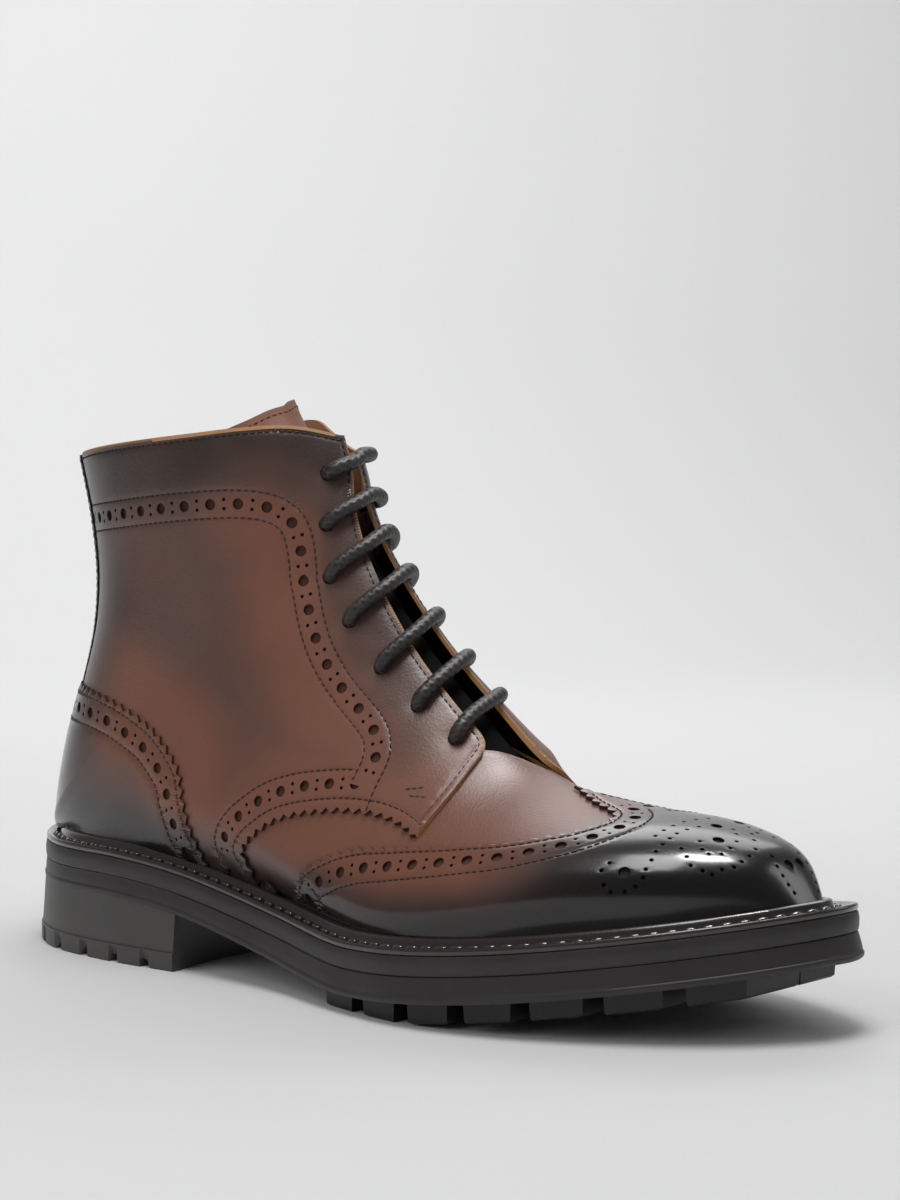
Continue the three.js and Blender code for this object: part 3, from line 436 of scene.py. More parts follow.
# Toe medallion, its outer half: section row and signed girth of each hole
MEDALLION_MIDDLE = 0.03
MEDALLION_PINS = (
    (3.92, -0.573), (3.92, -0.620), (3.75, -0.700), (3.62, -0.738), (3.46, -0.740), (3.36, -0.715),
    (3.33, -0.667), (3.38, -0.615), (3.42, -0.550), (3.50, -0.480), (3.54, -0.415), (3.58, -0.350),
    (3.62, -0.285), (3.62, -0.215), (3.58, -0.145), (3.50, -0.085), (3.33, -0.040), (3.12, -0.045),
    (2.92, -0.095), (2.67, -0.207), (3.12, -0.327), (3.21, -0.433), (3.00, -0.500), (2.83, -0.567),
    (2.62, -0.595), (2.46, -0.613), (2.36, -0.560), (2.21, -0.513), (2.17, -0.433), (2.92, -0.407),
    (2.75, -0.440), (2.58, -0.413), (2.58, -0.320), (3.83, -0.340), (3.88, -0.268), (3.92, -0.193),
    (3.93, -0.120), (3.90, -0.050), (3.85, 0.020), (2.17, -0.333), (2.25, -0.210), (2.54, -0.085),
    (2.79, 0.000), (1.88, -0.180), (1.58, -0.250), (1.28, -0.307), (1.00, -0.360), (0.74, -0.410),
)
MEDALLION_HOLES = ((3.62, -0.633), (2.92, -0.260), (3.42, -0.070), (1.50, -0.073))
# Soft creases of the vamp: place along the boot, bend back at the sides, depth, width, in mm
VAMP_CREASES = ((190.0, -9.0, 0.35, 4.0), (180.0, -12.0, 0.25, 3.5))
# How far out towards the feather line stitch rows and holes run, as girth shares
SEAM_LIMIT = 0.93
HOLE_LIMIT = 0.89
COUNTER_SEAM_LIMIT = 0.975
COUNTER_HOLE_LIMIT = 0.955
# The upper starts this far above the midsole
SEAT_RISE = 0.3


def side_view(table: tuple, sole: SoleShape, steps: int = 12) -> Array:
    """A side view table as a fine line of x and z."""
    points = np.array(table) * (sole.length, SHAFT_RISE) + (0.0, sole.heel_height)
    return catmull(points, False, steps)


def lace_places(side: Side) -> list[tuple[float, float]]:
    """Section row and signed girth of one side's lace holes, lowest first."""
    rise = INNER_HOLE_RISE if side is Side.INNER else 0.0
    return [(row + rise, side.value * (1.0 - girth)) for row, girth in LACE_HOLES]


def straight(first: float, last: float, count: int, girth: float) -> Array:
    """Points from one section row to another at one girth."""
    return np.c_[np.linspace(first, last, count), np.full(count, girth)]


class LastSurface:
    """The boot's outer surface: a point for each section row and signed girth share.

    Girth -1 is the outer feather line or back seam, 0 the crest, 1 the inner feather line.
    """

    row_steps = 24
    half = 150
    arc_steps = 90
    row_scale = 16.0
    girth_scale = 110.0

    def __init__(self, sole: SoleShape) -> None:
        """Samples the surface and its normals on a fine grid."""
        self.sole = sole
        self.columns = [natural_spline(column) for column in np.array(SECTIONS).T]
        self.last_row = len(SECTIONS) - 1
        back = side_view(BACK_CURVE, sole, 40)
        self.back_line, self.back_run = back, run_of(back) / run_of(back)[-1]
        rows = np.arange(self.last_row * self.row_steps + 1) / self.row_steps
        grid = np.stack([self.section(row) for row in rows])
        grid[0] = grid[0][self.half]
        self.grid = self.relaxed(grid, rows)
        self.normals = self.normals_of(self.grid, rows)

    def foot(self, side: Side, base: float) -> Array:
        """Where a section starts: on the feather line, or up the back of the heel and shaft."""
        if base <= 1.0:
            plan = self.sole.edge(side, np.array([max(base, 0.0)]), self.sole.feather)[0]
            return np.array([plan[0], plan[1], float(self.sole.top(plan[0])) + SEAT_RISE])
        x, z = read_off((base - 1.0) / BACK_CURVE[-1][1], self.back_run, self.back_line)
        return np.array([x, 0.0, z])

    def section(self, row: float) -> Array:
        """One whole section, outer side to inner side, in equal steps on each side."""
        values = (float(column(row)) for column in self.columns)
        base, crest_x, rise, outer, inner, crest_y, widest, roundness = values
        sole = self.sole
        crest_x *= sole.length
        crest_z = float(sole.top(crest_x)) + rise * SHAFT_RISE
        crest = np.array([crest_x, crest_y * sole.ball_width, crest_z])
        turn = np.linspace(0.0, np.pi, self.arc_steps + 1)
        low, high = np.minimum(turn, np.pi / 2), np.maximum(0.0, turn - np.pi / 2)
        is_low = turn <= np.pi / 2
        steep = float(fade(base, 0.8, 0.2))
        power = 2.0 / roundness
        low_share = mix(1.0 - np.cos(low), low / (np.pi / 2), steep)
        height = np.where(is_low, widest * low_share, widest + (1.0 - widest) * np.sin(high) ** power)
        halves = []
        for side, reach in ((Side.OUTER, outer), (Side.INNER, inner)):
            foot = self.foot(side, base)
            reach *= sole.ball_width
            y_low = mix(foot[1], reach, np.sin(low) ** (1.0 + 0.6 * steep))
            y_high = mix(crest[1], reach, np.maximum(0.0, np.cos(high)) ** power)
            y = np.where(is_low, y_low, y_high)
            line = np.c_[mix(foot[0], crest[0], height), y, mix(foot[2], crest[2], height)]
            run = run_of(line)
            halves.append(read_off(np.linspace(0.0, run[-1], self.half + 1), run, line))
        return np.vstack([halves[0], halves[1][::-1][1:]])

    def relaxed(self, grid: Array, rows: Array, rounds: int = 14) -> Array:
        """The grid with its small kinks across the sections eased, edges kept."""
        out = grid.copy()
        for _ in range(rounds):
            middle = 0.5 * out[:, 1:-1] + 0.25 * (out[:, :-2] + out[:, 2:])
            out[1:, 1:-1] = middle[1:]
        closed = rows >= HEEL_ROW
        seam = 0.5 * (out[closed][:, 1] + out[closed][:, -2])
        out[closed, 0] = out[closed, -1] = 0.5 * out[closed, 0] + 0.5 * seam
        return out

    def normals_of(self, grid: Array, rows: Array) -> Array:
        """Outward unit normals of the grid, wrapped round the back seam."""
        closed = rows >= HEEL_ROW
        across = np.empty_like(grid)
        across[:, 1:-1] = grid[:, 2:] - grid[:, :-2]
        across[:, 0] = grid[:, 1] - grid[:, 0]
        across[:, -1] = grid[:, -1] - grid[:, -2]
        wrapped = grid[:, 1] - grid[:, -2]
        across[closed, 0] = across[closed, -1] = wrapped[closed]
        onward = np.gradient(grid, axis=0)
        normal = np.cross(across, onward)
        normal[0] = (1.0, 0.0, 0.0)
        return normal / np.maximum(np.linalg.norm(normal, axis=-1, keepdims=True), 1e-9)

    def at(self, row: Array, girth: Array, lift: Array | float = 0.0) -> Array:
        """Points of the surface, moved outwards.

        Args:
            row: section rows.
            girth: signed girth shares.
            lift: how far outwards.

        Returns:
            The points.
        """
        r = np.clip(np.asarray(row, float) * self.row_steps, 0.0, len(self.grid) - 1.001)
        c = np.clip((np.asarray(girth, float) + 1.0) * self.half, 0.0, 2 * self.half - 0.001)
        i, j = np.floor(r).astype(int), np.floor(c).astype(int)
        u, v = (r - i)[..., None], (c - j)[..., None]

        def blend(grid: Array) -> Array:
            """The grid's values between its points."""
            low = mix(grid[i, j], grid[i, j + 1], v)
            return mix(low, mix(grid[i + 1, j], grid[i + 1, j + 1], v), u)

        return blend(self.grid) + self.unit(blend(self.normals)) * np.asarray(lift, float)[..., None]

    @staticmethod
    def unit(vectors: Array) -> Array:
        """Vectors at length 1."""
        return vectors / np.maximum(np.linalg.norm(vectors, axis=-1, keepdims=True), 1e-9)

    def on(self, path: Array, lift: Array | float = 0.0) -> Array:
        """Points of the surface along a path of row and girth."""
        return self.at(path[:, 0], path[:, 1], lift)

    def normal(self, path: Array) -> Array:
        """Outward normals along a path of row and girth."""
        return self.unit(self.on(path, 1.0) - self.on(path))

    def slopes(self, path: Array) -> tuple[Array, Array]:
        """How the surface point moves for a unit of row and of girth."""
        step = 0.02
        row, girth = path[:, 0], path[:, 1]
        by_row = (self.at(row + step, girth) - self.at(row - step, girth)) / (2 * step)
        step /= 4
        low, high = np.maximum(girth - step, -1.0), np.minimum(girth + step, 1.0)
        by_girth = (self.at(row, high) - self.at(row, low)) / (high - low)[:, None]
        return by_row, by_girth

    def step_by(self, path: Array, move: Array) -> Array:
        """The row and girth reached from a path by a small move in space."""
        a, b = self.slopes(path)
        aa, ab, bb = (a * a).sum(1), (a * b).sum(1), (b * b).sum(1)
        am, bm = (a * move).sum(1), (b * move).sum(1)
        det = np.maximum(aa * bb - ab * ab, 1e-9)
        return path + np.c_[(am * bb - bm * ab) / det, (bm * aa - am * ab) / det]

    def offset(self, path: Array, distance: float) -> Array:
        """A path moved sideways over the surface.

        Args:
            path: places of row and girth.
            distance: how far to the left of its run, seen from outside.

        Returns:
            The moved path.
        """
        out = path.copy()
        rounds = max(1, int(abs(distance) / 2.0 + 0.5))
        for _ in range(rounds):
            tangent = self.unit(np.gradient(self.on(out), axis=0))
            sideways = np.cross(self.normal(out), tangent)
            out = self.step_by(out, sideways * distance / rounds)
        return out

    def even(self, path: Array, step: float) -> Array:
        """A path resampled to equal steps in millimetres."""
        return resample(path, step, run_of(self.on(path)))

    def locate(self, line: Array, side: Side) -> Array:
        """Finds a side view line on one side of the boot.

        Args:
            line: its points, x and z.
            side: the side of the boot.

        Returns:
            Row and signed girth of each point.
        """
        columns = slice(0, self.half + 1) if side is Side.OUTER else slice(self.half, None)
        part = self.grid[:, columns]
        first = 0 if side is Side.OUTER else self.half
        flat = part[..., [0, 2]].reshape(-1, 2)
        found = []
        for x, z in line:
            k = int(np.argmin((flat[:, 0] - x) ** 2 + (flat[:, 1] - z) ** 2))
            found.append((k // part.shape[1] / self.row_steps, (k % part.shape[1] + first) / self.half - 1.0))
        path = np.array(found)
        for _ in range(2):
            dx, dz = (line - self.on(path)[:, [0, 2]]).T
            a, b = self.slopes(path)
            det = a[:, 0] * b[:, 2] - a[:, 2] * b[:, 0]
            det = np.where(np.abs(det) < 1e-6, 1e-6, det)
            step = np.c_[(dx * b[:, 2] - dz * b[:, 0]) / det, (dz * a[:, 0] - dx * a[:, 2]) / det]
            path = path + np.clip(step, -0.1, 0.1)
        path[:, 1] = np.clip(path[:, 1], -1.0, 1.0)
        return path

    def top_line(self, side: Side, count: int = 160) -> Array:
        """Row and girth along the top of the shaft on one side, from the back to the crest."""
        line = side_view(TOP_LINE if side is Side.OUTER else INNER_TOP_LINE, self.sole)
        girth = side.value * (1.0 - np.linspace(0.0, 1.0, count))
        rows = np.linspace(HEEL_ROW, self.last_row, 400)
        out = []
        for g in girth:
            points = self.at(rows, np.full_like(rows, g))
            over = points[:, 2] - np.interp(points[:, 0], line[:, 0], line[:, 1])
            k = int(np.argmax(over > 0.0))
            share = over[k - 1] / (over[k - 1] - over[k])
            out.append((mix(rows[k - 1], rows[k], share), g))
        return np.array(out)

    def girth_at_width(self, row: Array, half_width: Array, side: Side) -> Array:
        """Signed girth near the crest where the surface is half_width from the boot's middle."""
        girth = np.linspace(0.5, 0.0, 120) * side.value
        out = []
        for r, w in zip(np.atleast_1d(row), np.atleast_1d(half_width)):
            y = self.at(np.full_like(girth, r), girth)[:, 1] * side.value
            out.append(np.interp(-w, -y, girth))
        return np.array(out)

    def domain(self, path: Array) -> Array:
        """Row and girth as a flat plan in rough millimetres, for triangulating."""
        return path * (self.row_scale, self.girth_scale)

    def within(self, path: Array, loop: Array) -> Array:
        """Whether each place of a path lies inside a closed path."""
        return inside(self.domain(path), self.domain(loop))


# Meshes


@dataclass
class FrameShift:
    """Moves points of the last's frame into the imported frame."""

    x: float
    y: float

    def place(self, points: Array) -> Array:
        """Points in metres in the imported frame."""
        return (np.asarray(points, float) - (self.x, self.y, 0.0)) * MM


@dataclass
class MeshDraft:
    """Points, faces and what goes with them, gathered before the mesh is made."""

    points: list = field(default_factory=list)
    faces: list = field(default_factory=list)
    slots: list = field(default_factory=list)
    shade: list = field(default_factory=list)
    count: int = 0

    def add(self, points: Array, faces: list, slot: int = 0, shade: Array | float = 0.0) -> None:
        """Adds a part of the mesh.

        Args:
            points: its points.
            faces: its faces, numbered from its own first point.
            slot: number of its material.
            shade: how dark the surface is coloured at its points, 0 to 1: the calf's burnish, and on the
                tongue, lining, lace and sole painted shade or a painted sheen.
        """
        first = self.count
        self.points.append(np.asarray(points, float))
        self.faces.extend([tuple(int(v) + first for v in face) for face in faces])
        self.slots.extend([slot] * len(faces))
        self.shade.append(np.broadcast_to(np.asarray(shade, float), (len(points),)))
        self.count += len(points)

    def build(self, name: str, shift: FrameShift, materials: list, crease: float = 38.0) -> bpy.types.Object:
        """Makes the object.

        Args:
            name: name of the piece.
            shift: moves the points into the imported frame.
            materials: its materials in the order of their numbers.
            crease: angle in degrees above which an edge stays sharp.

        Returns:
            The object, linked to the scene.
        """
        mesh = bpy.data.meshes.new(name)
        points = shift.place(np.vstack(self.points))
        mesh.from_pydata(points.tolist(), [], self.faces)
        mesh.polygons.foreach_set("material_index", np.array(self.slots, np.int32))
        mesh.polygons.foreach_set("use_smooth", np.ones(len(self.faces), bool))
        # Each point's darkening: the calf's burnish, and on some pieces painted shade or a painted sheen
        attribute = mesh.attributes.new("darkening", "FLOAT", "POINT")
        attribute.data.foreach_set("value", np.concatenate(self.shade).astype(np.float32))
        for material in materials:
            mesh.materials.append(material)
        mesh.validate()
        mesh.set_sharp_from_angle(angle=math.radians(crease))
        obj = bpy.data.objects.new(name, mesh)
        bpy.context.scene.collection.objects.link(obj)
        return obj


def grid_faces(rows: int, columns: int, closed: bool = False) -> list:
    """Quads of a grid of points, facing the way of columns crossed with rows."""
    faces = []
    for i in range(rows - 1):
        for j in range(columns if closed else columns - 1):
            k = (j + 1) % columns
            faces.append((i * columns + j, i * columns + k, (i + 1) * columns + k, (i + 1) * columns + j))
    return faces


def inside(points: Array, loop: Array) -> Array:
    """Whether each point lies inside a closed loop."""
    x, y = points[:, 0], points[:, 1]
    hit = np.zeros(len(points), bool)
    for (x1, y1), (x2, y2) in zip(loop, np.roll(loop, -1, 0)):
        if y1 != y2:
            crosses = (y1 > y) != (y2 > y)
            hit ^= crosses & (x < (x2 - x1) * (y - y1) / (y2 - y1) + x1)
    return hit


@dataclass
class Burnish:
    """How dark the calf is burnished, from 0 at its warmest to 1 at near black."""

    sole: SoleShape

    def at(self, points: Array) -> Array:
        """Darkness at points of the boot.

        Each area has its strength, and in millimetres where it starts and how far it fades.
        """
        x, y, z = points.T
        top = side_view(TOP_LINE, self.sole)
        back = side_view(BACK_CURVE, self.sole)
        rise = z - self.sole.top(x)
        below_top = np.interp(x, top[:, 0], top[:, 1]) - z
        from_back = x - np.interp(z, back[:, 1], back[:, 0])
        low = 0.94 * fade(rise, 3.0, 21.0)
        collar = 0.36 * fade(below_top, 3.0, 24.0)
        heel = 0.85 * fade(from_back, 3.0, 44.0)
        toe = ease(x, 228.0, 34.0)
        wing = 0.70 * ease(x, 208.0, 46.0) * fade(rise, 24.0, 14.0)
        facing = 0.40 * self.beyond_band(x, z) * ease(y, -60.0, 10.0)
        middle = 0.40 * ease(self.from_bands(x, z), 8.0, 24.0) * fade(x, 150.0, 20.0)
        warm = (1.0 - facing) * (1.0 - middle) * (1.0 - low) * (1.0 - collar)
        warm *= (1.0 - heel) * (1.0 - toe) * (1.0 - wing)
        return 1.0 - warm

    def from_bands(self, x: Array, z: Array) -> Array:
        """Side view distance from the punched bands, beside which the calf is warmest."""
        tables = (COLLAR_BAND[6:], COUNTER_EDGE[2:], QUARTER_FOOT)
        return nearest(x, z, np.vstack([side_view(table, self.sole, 5) for table in tables]))

    def beyond_band(self, x: Array, z: Array) -> Array:
        """1 in front of and above the collar and facing band, 0 behind and below it."""
        band = side_view(COLLAR_BAND, self.sole, 6)
        gap = nearest(x, z, band)
        loop = np.vstack([band, [(band[-1, 0], 0.0), (-80.0, 0.0), (-80.0, band[0, 1])]])
        gap = np.where(inside(np.c_[x, z], loop), -gap, gap)
        return ease(gap, -2.0, 12.0) * fade(x, 170.0, 20.0) * ease(z, 62.0, 14.0)


@dataclass
class PunchedHole:
    """A round hole punched through a panel."""

    row: float
    girth: float
    radius: float
    through: bool = False

    @property
    def place(self) -> Array:
        """Its middle as a path of one place."""
        return np.array([[self.row, self.girth]])


class Layer(IntEnum):
    """Material numbers of a leather piece; an unlined one has its hole floors in place of flesh."""

    GRAIN = 0
    CUT = 1
    FLESH = 2
    FLOOR = 3
    TEETH = 4


@dataclass
class Panel:
    """A cut piece of leather laid on the last, with punched holes and stitched seams."""

    surface: LastSurface
    outline: Array
    lift: float
    thickness: float
    holes: list = field(default_factory=list)
    seams: list = field(default_factory=list)
    spacing: float = 1.1
    clear_share: float = 0.62
    edge_drop: float = 0.3
    hole_drop: float = 0.03
    hole_rim: float = 0.42
    floor_depth: float = 1.0
    seam_step: float = 0.9
    seam_side: float = 0.75
    seam_depth: float = 0.28
    seam_width: float = 0.45
    # Below this section row the flesh side is coloured near black: painted shade down in the throat
    lining_shade_row: float = 13.9
    lining_shade_fade: float = 1.5
    two_faced: bool = False
    open_edge: Callable[[Array], Array] | None = None
    pinked: tuple[int, int] = (0, 0)
    pinked_slot: int = Layer.CUT
    relief: Callable[[Array, Array], Array] | None = None
    bevelled: int = 0
    bevel: float = 0.0

    def hole_rings(self) -> tuple[Array, Array, list]:
        """Points of every hole's wall and of the ring round it, and the loops of wall points."""
        s = self.surface
        walls, rims, loops = [], [], []
        first = 0
        for hole in self.holes:
            count = 20 if hole.radius > 1.0 else 10
            a, normal = LastSurface.unit(s.slopes(hole.place)[0]), s.normal(hole.place)
            b = np.cross(normal, a)
            turn = 2 * np.pi * np.arange(count) / count
            around = np.cos(turn)[:, None] * a + np.sin(turn)[:, None] * b
            centre = np.repeat(hole.place, count, 0)
            walls.append(s.step_by(centre, around * hole.radius))
            rims.append(s.step_by(centre, around * (hole.radius + self.hole_rim)))
            loops.append(np.arange(first, first + count))
            first += count
        return np.vstack([NO_POINTS, *walls]), np.vstack([NO_POINTS, *rims]), loops

    def gaps(self, path: Array, marks: Array) -> Array:
        """Distance of each place of a path from its nearest mark, in millimetres."""
        tree = KDTree(len(marks))
        for k, point in enumerate(self.surface.on(marks)):
            tree.insert(point, k)
        tree.balance()
        return np.array([tree.find(point)[2] for point in self.surface.on(path)])

    def lattice(self, taken: Array) -> Array:
        """Even places of row and girth inside the panel, clear of holes and places taken."""
        s = self.surface
        low, high = self.outline.min(0), self.outline.max(0)
        rows = np.arange(low[0], high[0], self.spacing / s.row_scale)
        girths = np.arange(low[1], high[1], self.spacing / s.girth_scale)
        r, g = np.meshgrid(rows, girths, indexing="ij")
        r[:, ::2] += 0.5 * (rows[1] - rows[0])
        path = np.c_[r.ravel(), g.ravel()]
        path = path[s.within(path, self.outline)]
        keep = self.gaps(path, taken) > self.spacing * self.clear_share
        space = s.on(path)
        for hole in self.holes:
            keep &= np.linalg.norm(space - s.on(hole.place), axis=1) > hole.radius
        return path[keep]

    def triangles(self, fixed: Array, loops: list) -> tuple[Array, Array, Array]:
        """Fills the outline with triangles, holes left open.

        Args:
            fixed: places that become corners, the outline and the hole walls first.
            loops: numbers of each hole's wall places among all walls.

        Returns:
            The corners, the number of the fixed place that each stands for or -1, and the triangles.
        """
        s = self.surface
        count = len(self.outline)
        path = np.vstack([fixed, self.lattice(fixed)])
        edges = [(k, (k + 1) % count) for k in range(count)]
        for loop in loops:
            edges += [(count + int(a), count + int(b)) for a, b in zip(loop, np.roll(loop, -1))]
        places = [Vector(p) for p in s.domain(path).tolist()]
        verts, _, faces, origins, _, _ = delaunay_2d_cdt(places, edges, [], 0, 1e-4)
        flat = np.array([tuple(v) for v in verts])
        source = np.array([min(o) if o else -1 for o in origins])
        tris = np.array([face for face in faces if len(face) == 3])
        keep = inside(flat[tris].mean(1), s.domain(self.outline))
        owner = np.full(len(source), -1)
        for k, loop in enumerate(loops):
            owner[np.isin(source, count + loop)] = k
        corners = owner[tris]
        in_hole = (corners[:, 0] >= 0) & (corners == corners[:, :1]).all(1)
        return flat / (s.row_scale, s.girth_scale), source, tris[keep & ~in_hole][:, ::-1]

    def draft(self, darkening: Burnish, draft: MeshDraft) -> None:
        """Adds the panel to a mesh draft, but for the floors of its holes.

        Args:
            darkening: how dark the leather is.
            draft: the mesh to add to.
        """
        s = self.surface
        walls, rims, loops = self.hole_rings()
        even = [s.even(seam, self.seam_step) for seam in self.seams]
        beside = [s.offset(line, d) for line in even for d in (-self.seam_side, self.seam_side)]
        seams = np.vstack([NO_POINTS, *even])
        ring = NO_POINTS
        if self.bevelled:
            ring = s.offset(self.outline[: self.bevelled], self.bevel)
            ring = ring[s.within(ring, self.outline)]
        fixed = np.vstack([self.outline, walls, rims, seams, *beside, ring])
        path, source, tris = self.triangles(fixed, loops)
        count = len(self.outline)
        lift = np.full(len(path), self.lift)
        rim = (source >= 0) & (source < count + len(walls))
        lift[rim] -= np.where(source[rim] < count, self.edge_drop, self.hole_drop)
        if len(seams):
            lift -= self.seam_depth * bell(self.gaps(path, seams) / self.seam_width)
        if self.relief:
            lift += self.relief(path, s.on(path))
        top = s.on(path, lift)
        shade = darkening.at(top)
        cut = (source >= len(fixed) - len(ring)) & (source < len(fixed))
        cut |= (source >= 0) & (source < self.bevelled)
        raw = cut[tris].all(1)
        draft.add(top, tris[~raw].tolist(), Layer.GRAIN, shade)
        draft.add(top, tris[raw].tolist(), Layer.CUT, shade * 0.5)
        # The pinked teeth and the hole walls take the dark edge colour: painted shade
        dark_edge = (source >= self.pinked[0]) & (source < self.pinked[1])
        self.add_walls(draft, path, lift, tris, shade, dark_edge | ((source >= count) & rim))
        if self.two_faced:
            # Painted shade: the flesh side darkens to near black down in the throat
            depth = smooth((self.lining_shade_row - path[:, 0]) / self.lining_shade_fade)
            under = s.on(path, self.lift - self.thickness)
            draft.add(under, tris[:, ::-1].tolist(), Layer.FLESH, depth)

    def floors(self, darkening: Burnish, draft: MeshDraft, slot: int) -> None:
        """Closes every blind hole a little below the grain side.

        Args:
            darkening: how dark the leather is.
            draft: the mesh to add to.
            slot: material number of the floors.
        """
        walls, _, loops = self.hole_rings()
        for hole, loop in zip(self.holes, loops):
            if hole.through:
                continue
            points = self.surface.on(walls[loop], self.lift - self.floor_depth)
            face = tuple(range(len(points)))
            normal = np.cross(points[1] - points[0], points[2] - points[1])
            outward = self.surface.normal(walls[loop][:1])[0]
            draft.add(points, [face if normal @ outward > 0 else face[::-1]], slot, darkening.at(points))

    def add_walls(
        self, draft: MeshDraft, path: Array, lift: Array, tris: Array, shade: Array, dark_edge: Array
    ) -> None:
        """Adds the cut edge along every open side of the triangles.

        Args:
            draft: the mesh to add to.
            path: the panel's corners.
            lift: how far each stands off the surface.
            tris: the panel's triangles.
            shade: how dark each corner is.
            dark_edge: which corners belong to a dark edge, painted shade along the teeth and in the holes.
        """
        pairs = np.vstack([tris[:, [0, 1]], tris[:, [1, 2]], tris[:, [2, 0]]])
        seen = {(int(a), int(b)) for a, b in pairs}
        rim = [(a, b) for a, b in seen if (b, a) not in seen]
        if self.open_edge is not None:
            free = self.open_edge(path)
            rim = [(a, b) for a, b in rim if not (free[a] and free[b])]
        used = sorted({v for pair in rim for v in pair})
        number = {v: k for k, v in enumerate(used)}
        index = np.array(used, int)
        top = self.surface.on(path[index], lift[index])
        foot = self.surface.on(path[index], self.lift - self.thickness)
        count = len(used)
        for wanted, material in ((False, Layer.CUT), (True, self.pinked_slot)):
            faces = [
                (number[b], number[a], number[a] + count, number[b] + count)
                for a, b in rim
                if bool(dark_edge[a] and dark_edge[b]) is wanted
            ]
            draft.add(np.vstack([top, foot]), faces, material, np.r_[shade[index], shade[index]])


# Materials


def linear(hex_colour: str) -> tuple[float, float, float, float]:
    """An sRGB hex colour as linear RGBA."""
    parts = [int(hex_colour[k : k + 2], 16) / 255.0 for k in (1, 3, 5)]
    return (*[c / 12.92 if c <= 0.04045 else ((c + 0.055) / 1.055) ** 2.4 for c in parts], 1.0)


def add_node(
    tree: bpy.types.NodeTree, kind: str, inputs: dict | None = None, **settings: object
) -> bpy.types.Node:
    """Adds a node.

    Args:
        tree: the tree to add to.
        kind: type of the node.
        inputs: values, or other nodes' sockets, by the name or number of the input.
        settings: other properties of the node.

    Returns:
        The node.
    """
    node = tree.nodes.new(kind)
    for name, value in settings.items():
        setattr(node, name, value)
    for name, value in (inputs or {}).items():
        socket = node.inputs[name]
        if isinstance(value, bpy.types.NodeSocket):
            tree.links.new(value, socket)
        else:
            socket.default_value = value
    return node


@dataclass(frozen=True)
class Finish:
    """One real material of the boot and what its numbers give the eye."""

    name: str
    colours: tuple[str, ...]
    roughness: float
    coat: float = 0.0
    coat_roughness: float = 0.2
    grain_mm: float = 0.0
    grain_depth: float = 0.0
    mottle: float = 0.0
    mottle_mm: float = 9.0
    stops: tuple[float, ...] = (0.0, 1.0)
    dark_roughness: float | None = None
    specular: float = 0.5

    def material(self) -> bpy.types.Material:
        """Builds the material; its patterns are scaled from real sizes."""
        material = bpy.data.materials.new(self.name)
        material.use_nodes = True
        tree = material.node_tree
        shader = tree.nodes["Principled BSDF"]
        place = add_node(tree, "ShaderNodeTexCoord").outputs["Object"]
        # Each point's darkening picks the colour: the calf's burnish, and on some pieces painted shade or a
        # painted sheen
        shade = add_node(tree, "ShaderNodeAttribute", attribute_name="darkening").outputs["Fac"]
        clouds = {"Vector": place, "Scale": 1000.0 / self.mottle_mm, "Detail": 4.0}
        wander = add_node(tree, "ShaderNodeTexNoise", clouds).outputs["Fac"]
        shifted = add_node(tree, "ShaderNodeMath", {0: wander, 1: 0.5}, operation="SUBTRACT").outputs[0]
        sums = {0: shifted, 1: self.mottle, 2: shade}
        mottled_darkening = add_node(tree, "ShaderNodeMath", sums, operation="MULTIPLY_ADD", use_clamp=True).outputs[0]
        ramp = add_node(tree, "ShaderNodeValToRGB", {"Fac": mottled_darkening})
        while len(ramp.color_ramp.elements) < len(self.colours):
            ramp.color_ramp.elements.new(0.5)
        for element, stop, colour in zip(ramp.color_ramp.elements, self.stops, self.colours):
            element.position = stop
            element.color = linear(colour)
        tree.links.new(ramp.outputs["Color"], shader.inputs["Base Color"])
        shader.inputs["Specular IOR Level"].default_value = self.specular
        shader.inputs["Coat Weight"].default_value = self.coat
        shader.inputs["Coat Roughness"].default_value = self.coat_roughness
        if self.dark_roughness is None:
            shader.inputs["Roughness"].default_value = self.roughness
        else:
            span = {"Value": mottled_darkening, "To Min": self.roughness, "To Max": self.dark_roughness}
            gloss = add_node(tree, "ShaderNodeMapRange", span).outputs["Result"]
            tree.links.new(gloss, shader.inputs["Roughness"])
        if self.grain_mm:
            pebbles = {"Vector": place, "Scale": 1000.0 / self.grain_mm}
            cells = add_node(tree, "ShaderNodeTexVoronoi", pebbles).outputs["Distance"]
            folds = {"Vector": place, "Scale": 180.0, "Detail": 3.0}
            waves = add_node(tree, "ShaderNodeTexNoise", folds).outputs["Fac"]
            sums = {0: waves, 1: 1.6, 2: cells}
            height = add_node(tree, "ShaderNodeMath", sums, operation="MULTIPLY_ADD").outputs[0]
            relief = {"Height": height, "Strength": 0.35, "Distance": self.grain_depth * MM}
            bump = add_node(tree, "ShaderNodeBump", relief).outputs["Normal"]
            tree.links.new(bump, shader.inputs["Normal"])
        return material


# Burnished calf: warm brown in the middle of each panel, near black towards the edges; the thin
# coat gives the soft polish and the fine grain breaks up its highlight
CALF = Finish(
    "burnished_calf", ("#784b3a", "#5b4138", "#3c2d29", "#1c1615"), 0.43, 0.36, 0.34, 0.8, 0.17, 0.36, 17.0,
    stops=(0.0, 0.4, 0.72, 1.0), dark_roughness=0.33,
)
# Dark calf of the toe and counter: the same hide polished to a mirror where it is nearly black
DARK_CALF = Finish(
    "polished_dark_calf", ("#754a38", "#50372f", "#281e1c", "#090707"), 0.38, 0.60, 0.14, 0.8, 0.03, 0.24,
    18.0, stops=(0.0, 0.35, 0.68, 1.0), dark_roughness=0.26, specular=0.35,
)
